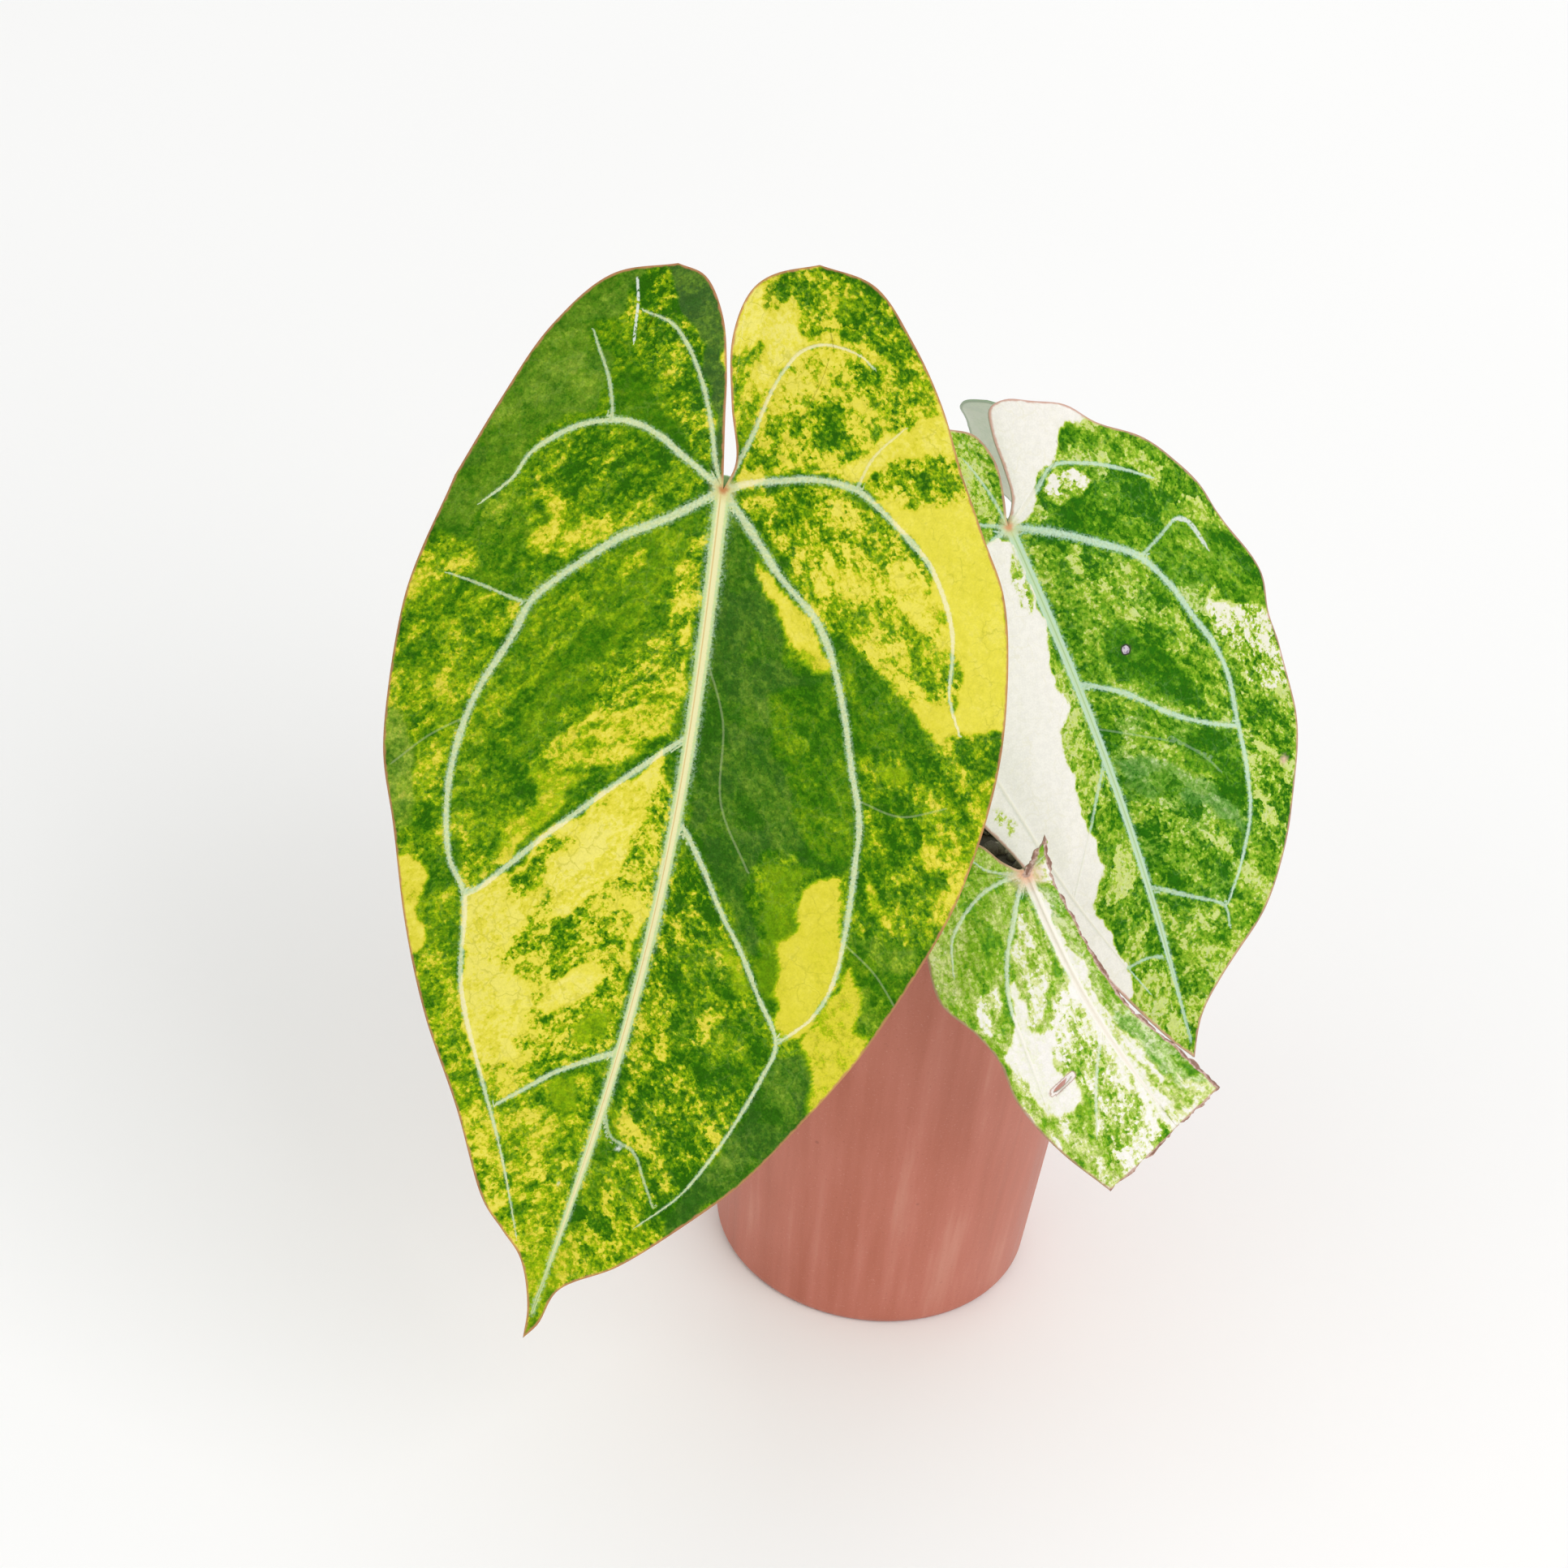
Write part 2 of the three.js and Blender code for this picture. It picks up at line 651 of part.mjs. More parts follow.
// Crown: the stem's foot in the mix, and a sheath under each petiole
function makeCrown() {
  const top = mixLevel + crownAbove;
  const foot = mixLevel - crownBuried;
  const profile = [
    [0, foot], [crownRadius - crownEdge, foot], [crownRadius, foot + crownEdge],
    [crownRadius, top - 2 * crownEdge], [crownRadius - crownEdge, top - crownEdge / 2], [0, top],
  ].map(([r, z]) => new THREE.Vector2(r, z));
  let solid = toSolid(new THREE.LatheGeometry(profile, crownSides).rotateX(Math.PI / 2));
  for (const leaf of leaves) {
    const { curve, outward } = petiolePath(leaf);
    const end = curve.getPointAt(0).addScaledVector(outward, -gap);
    const start = end.clone().addScaledVector(outward, gap - sheathLength);
    const { radius } = leaf.petiole;
    const radiusAt = (share) => radius * (sheathFlare + (sheathTip - sheathFlare) * share);
    const sheath = taperedTube(new THREE.LineCurve3(start, end), 2, radiusAt, petioleSides);
    solid = solid.add(toSolid(sheath));
  }
  return makeMesh('crown', toGeometry(solid), crownBrown, barky);
}

const plant = new THREE.Group();
plant.add(makePot(), makePottingMix(), makeCrown());
for (const leaf of leaves) {
  plant.add(makePetiole(leaf), makeBlade(leaf));
}

export default plant;
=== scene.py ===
# A potted crystal anthurium with variegated leaves, dressed over its solids.
# Lengths are millimetres in the part's frame until a mesh is made; Blender works in metres.
import math
import random

import bmesh
import bpy
import numpy as np
from mathutils import Matrix, Vector, noise


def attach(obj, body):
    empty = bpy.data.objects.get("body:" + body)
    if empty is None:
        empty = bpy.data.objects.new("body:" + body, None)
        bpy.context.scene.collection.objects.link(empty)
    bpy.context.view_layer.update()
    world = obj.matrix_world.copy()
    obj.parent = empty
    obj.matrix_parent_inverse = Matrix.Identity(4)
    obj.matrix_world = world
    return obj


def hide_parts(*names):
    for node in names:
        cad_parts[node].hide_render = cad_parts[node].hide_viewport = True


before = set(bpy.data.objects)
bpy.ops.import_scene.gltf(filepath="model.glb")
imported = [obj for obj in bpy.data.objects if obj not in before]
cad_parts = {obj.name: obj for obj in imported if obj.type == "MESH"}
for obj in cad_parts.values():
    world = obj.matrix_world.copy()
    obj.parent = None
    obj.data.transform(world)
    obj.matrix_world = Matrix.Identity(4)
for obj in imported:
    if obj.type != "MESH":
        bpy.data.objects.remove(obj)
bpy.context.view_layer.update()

MM = 0.001
FAR = 9.0
SEED = 7
NOISE_SEED = 35
noise.seed_set(NOISE_SEED)

# Camera: where it stands, and the photograph's focal length in its own pixels
PHOTO_SIZE = 1932
FOCAL_PIXELS = 4880
SENSOR_WIDTH = 36
CAMERA_AT = (-27.7, -588.3, 548.6)
CAMERA_DOWN = 37
CAMERA_ROLL = 7

# Studio, in metres and watts: each light's place, power and size, where all aim, and the floor
LIGHTS = {
    "key": ((0.9, -0.9, 1.3), 11.5, 1.2),
    "fill": ((-1.1, -1.0, 0.9), 4, 1.4),
    "rim": ((0.2, 1.3, 1.0), 5, 1.4),
}
LIGHTS_AIM = (0, 0, 0.12)
WORLD_LIGHT = 0.66
FLOOR_REACH = 3
FLOOR_LEVEL = -0.0003

# Pot
POT_HEIGHT = 108
POT_BASE_RADIUS = 31
POT_RIM_RADIUS = 40
POT_WALL = 1.8
POT_FLOOR = 2.5
POT_EDGE = 0.9
BODY_TOP = 98
BODY_TOP_RADIUS = 37.4
FOOT_GROOVE = 0.5
POT_SIDES = 144
DRAIN_HOLES = 6
DRAIN_RADIUS = 3
DRAIN_CIRCLE = 18
DRAIN_SIDES = 32
SHARP_ANGLE = 40

# Potting mix: its level and mound, its clearance in the pot, and the pebbles on it
MIX_LEVEL = 98
MIX_MOUND = 2.5
MIX_EDGE_DROP = 1.6
MIX_SHOULDER = MIX_LEVEL - 2.5
MIX_SIDES = 96
MIX_RINGS = 30
MIX_CLEARANCE = 0.3
MIX_RADIUS = BODY_TOP_RADIUS - POT_WALL - 0.5
MIX_TONE = 0.15
PEBBLES = 420
PEBBLE_SIZES = [0.9, 1.2, 1.5, 1.9]
PEBBLE_BUMPS = 0.4

# Crown, and the sheaths that clasp the petioles
CROWN_RADIUS = 6.5
CROWN_ABOVE = 7
CROWN_BURIED = 14
CROWN_SIDES = 64
CROWN_STEPS = 40
CROWN_TONE = 0.1
SHEATH_LENGTH = 12
SHEATH_FLARE = 1.7
SHEATH_TIP = 1.12
SHEATH_SIDES = 36
SHEATH_STEPS = 30
PETIOLE_SIDES = 28
PETIOLE_STEPS = 72
JOIN_BELOW = 0.9

# Blades: thickness, how they swell between veins, and how they buckle (height, pitch and seed)
BLADE_THICK = 1.3
MARGIN_THICK = 0.8
MARGIN_ROUND = 1.5
SWELL_HEIGHT = 0.45
SWELL_REACH = 3.5
BUCKLE = 0.35
BUCKLE_WAVE = (9, 1, 21.3)
HALVES_APART = 150

# Veins: the midrib's reach along a blade, and relief in widths, below and above
MIDRIB_REACH = 0.97
CUT_MIDRIB_REACH = 0.9
MIDRIB_STEPS = 40
MIDRIB_TAPER = 0.45
MIDRIB_RELIEF = (1.0, 0.4)
VEIN_RELIEF = (0.85, 0.3)
BELOW_SPREAD = 1.8
ABOVE_SPREAD = 1.25
HAIR_VEIN = 0.25
STRENGTH_PER_WIDTH = 1.9
FADE_FROM = 0.75
FADE_DEPTH = 0.9

# Ragged borders, each a pair of waves with pitch, reach and seed: of the zones and the dried margin
ZONE_SOFTNESS = 0.45
ZONE_WAVES = [(5, 1.6, 3.1), (1.6, 0.7, 8.7)]
TEAR_WAVES = [(2.2, 0.7, 5.5), (0.7, 0.3, 9.5)]
TEAR_REACH = 1.2

# The leaves. Outlines lie in each leaf's plane: the petiole joins at 0,0, the tip is along -Y.
# Grain has an angle and a stretch. Stations are columns along a lobe, a side and a cut, each as
# fine as fineness says for lobes and sides. A vein has half widths at its root and end, then its line.
LARGE_LEAF = {
    "name": "large_leaf", "grain": (42, 1.6), "sinus": (-44, -23, 183),
    "azimuth": 0, "slope": 53, "turn": -6.4,
    "length": 149, "lobe_height": 40, "half_width": 54, "bow": 5.5, "rise": 3, "valley": 12,
    "side_droop": 5, "tip_droop": 9, "lobe_droop": 6, "wave": 1.6, "pitch": 40, "phase": 1,
    "stations": (8, 20, 0), "fineness": (7, 11), "rows": 71, "rib": 1.5,
    "petiole": {"radius": 2.1, "angle": 200, "lean": 0.25, "reach": 38, "behind": 26, "join": 0.5},
    "left": {
        "lobe_line": [(0, 0), (-8, 9), (-14, 17), (-19, 23)],
        "inner": [(0, 0), (-2.5, 12), (-4, 19.5), (-7, 29), (-11.5, 35), (-16.5, 36)],
        "shoulder": [(-16.5, 36), (-27, 31.5), (-34.5, 21), (-40, 7), (-45, -8)],
        "side": [(-45, -8), (-48.5, -31), (-46.5, -54.5), (-41.5, -68), (-36, -83.5), (-29, -98),
                 (-20, -112.5), (-12, -127), (-7.5, -131.5), (-3.5, -135.5), (-0.5, -143.5), (0, -149)],
    },
    "right": {
        "lobe_line": [(0, 0), (7, 9), (11, 18), (13, 27)],
        "inner": [(0, 0), (1, 5), (-2, 14.5), (-4.5, 25.5), (-3.5, 34), (-0.5, 38), (7, 41.5)],
        "shoulder": [(7, 41.5), (17, 40), (25.5, 32), (32.5, 23), (39, 11.5)],
        "side": [(39, 11.5), (45, 2), (50.5, -6.5), (54, -17.5), (56.5, -36), (55, -58.5), (49, -78),
                 (44, -90.5), (36, -105), (30, -114.5), (21, -125), (13, -133), (4, -139.5), (2, -146),
                 (0, -149)],
    },
    "veins": [
        (0.49, 0.33, [(0, 0), (-2, 3.5), (-5, 11.5), (-8, 17.5), (-11.5, 22.5), (-15, 25.5), (-20, 26.5)]),
        (0.73, 0.33, [(0, 0), (-8, 4), (-13, 6.5), (-17.5, 7.5), (-21, 7), (-26, 5), (-30.5, 1.5),
                    (-33.5, -2), (-35, -6), (-39.5, -11.5)]),
        (0.4, 0.23, [(-21, 7), (-21.5, 9.5), (-23.5, 14.5), (-26, 18.5), (-27.5, 21)]),
        (0.83, 0.33, [(0, 0), (-8, -7), (-14.5, -11.5), (-19.5, -16.5), (-24.5, -22), (-27.5, -26.5),
                     (-29, -32.5), (-33, -44), (-34, -57), (-31, -71), (-27, -77), (-24, -92),
                     (-17, -106.5), (-12, -116), (-8.5, -123.5), (-5, -132)]),
        (0.36, 0.2, [(-27.5, -26.5), (-31, -26), (-37, -25), (-42, -24.5)]),
        (0.46, 0.26, [(0, 0), (2.5, 9), (4, 17.5), (5.5, 22.5), (7.5, 26), (11, 28), (17.5, 27.5), (20, 26)]),
        (0.73, 0.33, [(0, 0), (4, 2), (9, 3.5), (14, 5), (22, 5), (27, 2.5), (32.5, -1), (37.5, -5),
                    (43, -13.5), (44.5, -19), (45.5, -25.5), (48.5, -31)]),
        (0.33, 0.2, [(22, 5), (23.5, 11), (27.5, 17)]),
        (0.76, 0.46, [(0, 0), (8, -7.5), (12.5, -12), (21, -18.5), (27, -28.5), (32.5, -42),
                     (35.5, -49.5), (36.5, -57), (37.5, -67.5), (37.5, -77), (35.5, -83.5), (30.5, -89.5)]),
        (0.53, 0.53, [(4, -42), (1, -45), (-8.5, -55.5), (-17, -65.5), (-20.5, -70), (-24.5, -75),
                     (-27, -77)]),
        (0.53, 0.4, [(4.6, -97), (-4.5, -102.5), (-8.5, -106), (-13.5, -110.5)]),
        (0.53, 0.26, [(6, -56.5), (11, -62.5), (16, -69.5), (21, -75.5), (25.5, -82), (30.5, -89.5),
                    (29.5, -95.5), (25.5, -108), (20.5, -118.5), (14.5, -125.5)]),
        (0.3, 0.2, [(4.8, -107.5), (6.8, -111.5), (11, -113), (14, -117.5), (16.5, -121.5)]),
        (0.18, 0.1, [(3, -27), (9, -38), (12, -52), (19, -62)]),
        (0.17, 0.08, [(37.5, -70), (44, -74), (49, -79)]),
        (0.17, 0.08, [(34.5, -46), (42, -47), (49, -44)]),
        (0.17, 0.08, [(-33, -47), (-39, -52), (-44, -58)]),
    ],
    "scratches": [(0.22, [(-22.5, 31.5), (-21.5, 28), (-21, 24.5), (-20.5, 21)])],
    "specks": [(8.5, -113, 0.45, "silver"), (0, -121.5, 0.3, "silver")],
}

HALF_MOON_LEAF = {
    "name": "half_moon_leaf", "grain": (36, 1.6), "sinus": (6, 4, 165),
    "azimuth": 28, "slope": 52, "turn": 12.4,
    "length": 103, "lobe_height": 22, "half_width": 38, "bow": 2.2, "rise": 2.5, "valley": 10,
    "side_droop": 5, "tip_droop": 6, "lobe_droop": 4, "wave": 1.4, "pitch": 32, "phase": 0.6,
    "stations": (6, 17, 0), "fineness": (7, 10), "rows": 64, "rib": 1.12,
    "petiole": {"radius": 1.9, "angle": 20, "lean": 0.2, "reach": 26, "behind": 20, "join": 0.5},
    "left": {
        "lobe_line": [(0, 0), (-5, 5), (-9, 10)],
        "inner": [(0, 0), (1.5, 5.5), (2.5, 12), (1, 17.5), (-3, 20)],
        "shoulder": [(-3, 20), (-11, 18), (-17, 13.5), (-21, 8)],
        "side": [(-21, 8), (-27, -7), (-29, -24), (-27, -41), (-20.5, -57), (-14.5, -77), (-5, -96),
                 (0, -103)],
    },
    "right": {
        "lobe_line": [(0, 0), (8, 5), (15, 8)],
        "inner": [(0, 0), (2.5, 4), (3.5, 10), (4.2, 16), (6, 20.5), (9.5, 21), (14, 19)],
        "shoulder": [(14, 19), (20, 16), (24, 11), (31.5, 5.5), (36.5, -0.5), (41.5, -7.5), (43.5, -14)],
        "side": [(43.5, -14), (46, -26), (45.3, -33), (46.5, -40.5), (44.5, -50), (38.5, -62.5), (33, -73),
                 (23.5, -82.5), (9.5, -91), (4, -96), (0, -103)],
    },
    "veins": [
        (0.51, 0.3, [(0, 0), (7, 4), (12, 7), (17.5, 5.5), (23.5, 2.5), (30.5, -2)]),
        (0.81, 0.42, [(0, 0), (7.5, -4), (14.5, -8.5), (22.5, -14.5), (26, -21), (28, -27.5), (31, -35),
                     (32, -41.5), (30, -50), (28.5, -57.5), (26, -66), (21.5, -73), (16, -79)]),
        (0.38, 0.3, [(22.5, -14.5), (28, -12.5), (34.5, -11), (37, -17)]),
        (0.51, 0.47, [(2.5, -31), (10, -36), (17.5, -43), (24.5, -47.5), (29.5, -50)]),
        (0.42, 0.26, [(2.5, -70.5), (9, -75), (15, -79.5), (14.5, -83)]),
        (0.38, 0.21, [(0, -83), (-3, -82), (-8.5, -82)]),
        (0.59, 0.26, [(0, 0), (-8, -3), (-16, -13), (-20, -30), (-17, -52), (-10, -76), (-5, -88)]),
        (0.42, 0.26, [(0, 0), (-0.5, 4), (-1.5, 9), (-3, 14)]),
        (0.42, 0.26, [(0, 0), (-8, 3), (-15, 3)]),
        (0.34, 0.21, [(2.1, -45), (-6, -56), (-13, -66)]),
        (0.21, 0.1, [(15.5, -46.5), (19, -50.5), (21.5, -54), (22.5, -56)]),
        (0.19, 0.1, [(3, -40), (10.5, -44.5), (15.5, -47.5), (22, -53)]),
    ],
    "scratches": [(0.4, [(33.5, -11), (35.5, -12), (36.5, -14), (37, -17.5)])],
    "specks": [(12.5, -28.5, 0.9, "purple"), (36.5, -59.5, 0.8, "tan")],
}

TRIMMED_LEAF = {
    "name": "trimmed_leaf", "grain": (12, 2.8), "sinus": (16, -42, 124),
    "azimuth": 5, "slope": 58, "turn": 35.5,
    "length": 53.5, "lobe_height": 12, "half_width": 24, "bow": -2.3, "rise": 1.5, "valley": 7,
    "side_droop": 3, "tip_droop": 3, "lobe_droop": 2, "wave": 0.8, "pitch": 24, "phase": 0.4,
    "stations": (5, 13, 3), "fineness": (7, 8), "rows": 46, "rib": 1.1,
    "petiole": {"radius": 1.7, "angle": 285, "lean": 2.2, "reach": 24, "behind": 4, "join": -2},
    "left": {
        "lobe_line": [(0, 0), (-5, 3), (-10, 6)],
        "inner": [(0, 0), (-2.5, 4), (-4, 8), (-7, 11.5)],
        "shoulder": [(-7, 11.5), (-12, 11.5), (-16.5, 9), (-20.5, 3.5), (-22, -3)],
        "side": [(-22, -3), (-24.5, -12), (-22, -20), (-21, -26.5), (-22, -34.5), (-20, -46), (-16, -57)],
        "cut": [(-16, -57), (0, -53.5)],
    },
    "right": {
        "lobe_line": [(0, 0), (2, 1), (3.8, 2)],
        "inner": [(0, 0), (3.5, 2.5), (6, 4)],
        "shoulder": [(6, 4), (4.7, 0), (4, -3), (3.5, -7.5)],
        "side": [(3.5, -7.5), (3, -17.5), (3.5, -29), (7, -40), (10, -51)],
        "cut": [(10, -51), (0, -53.5)],
    },
    "veins": [
        (0.5, 0.25, [(0, 0), (-3, -2.5), (-6.5, -6.5), (-10, -10.5), (-12.5, -14.5), (-14.5, -19.5),
                     (-15.5, -25), (-16.5, -30.5), (-18, -38)]),
        (0.45, 0.2, [(0, 0), (-4, 1), (-8.5, 1), (-13.5, -1), (-17, -3.5), (-20, -9)]),
        (0.4, 0.2, [(0, 0), (-2.5, 1.5), (-5.5, 4), (-7, 7)]),
        (0.3, 0.2, [(0, 0), (2, 0.5), (4, 1)]),
        (0.35, 0.2, [(-2, -30), (-8, -38), (-13, -47)]),
    ],
    "scratches": [],
    "specks": [],
    # A narrow slit through the blade: centre, half length, half width and turn in degrees
    "slit": (-13.5, -35.5, 2.3, 0.45, 14),
    # Runs of the outline that have dried, with how far the brown reaches in from the margin
    "dried": [("right", "inner", 0.8), ("right", "shoulder", 0.6), ("right", "side", 0.55),
              ("left", "cut", 0.3), ("right", "cut", 0.3)],
}

BACK_HALF = {
    "lobe_line": [(0, 0), (5, 4), (8.5, 7.5)],
    "inner": [(0, 0), (1.5, 5), (3, 11), (6, 16), (10, 17)],
    "shoulder": [(10, 17), (16, 14.5), (20, 8.5), (21.5, 1.5)],
    "side": [(21.5, 1.5), (21.5, -10), (18.5, -26), (13, -42), (6.5, -56), (2.5, -63), (0, -72)],
}
BACK_VEINS = [
    (0.7, 0.3, [(0, 0), (6.5, -3.5), (12.5, -14), (13, -30), (9, -45), (4.5, -58)]),
    (0.4, 0.25, [(0, 0), (4, 5), (9.5, 11)]),
    (0.45, 0.25, [(0, 0), (8, 2), (15.5, -2)]),
]


def mirrored(line):
    return [(-x, y) for x, y in line]


BACK_LEAF = {
    "name": "back_leaf", "grain": (40, 1.6), "sinus": (17, 54, 149), "azimuth": 150, "slope": 60, "turn": -10,
    "length": 72, "lobe_height": 17, "half_width": 21.5, "bow": 0, "rise": 2, "valley": 8,
    "side_droop": 3, "tip_droop": 6, "lobe_droop": 3, "wave": 1, "pitch": 30, "phase": 0.8,
    "stations": (5, 13, 0), "fineness": (7, 8), "rows": 34, "rib": 1.2,
    "petiole": {"radius": 1.8, "angle": 100, "lean": 0.4, "reach": 24, "behind": 20, "join": 0.5},
    "left": {run: mirrored(line) for run, line in BACK_HALF.items()},
    "right": BACK_HALF,
    "veins": BACK_VEINS + [(root, end, mirrored(line)) for root, end, line in BACK_VEINS],
    "scratches": [],
    "specks": [],
}

LEAVES = [LARGE_LEAF, HALF_MOON_LEAF, TRIMMED_LEAF, BACK_LEAF]

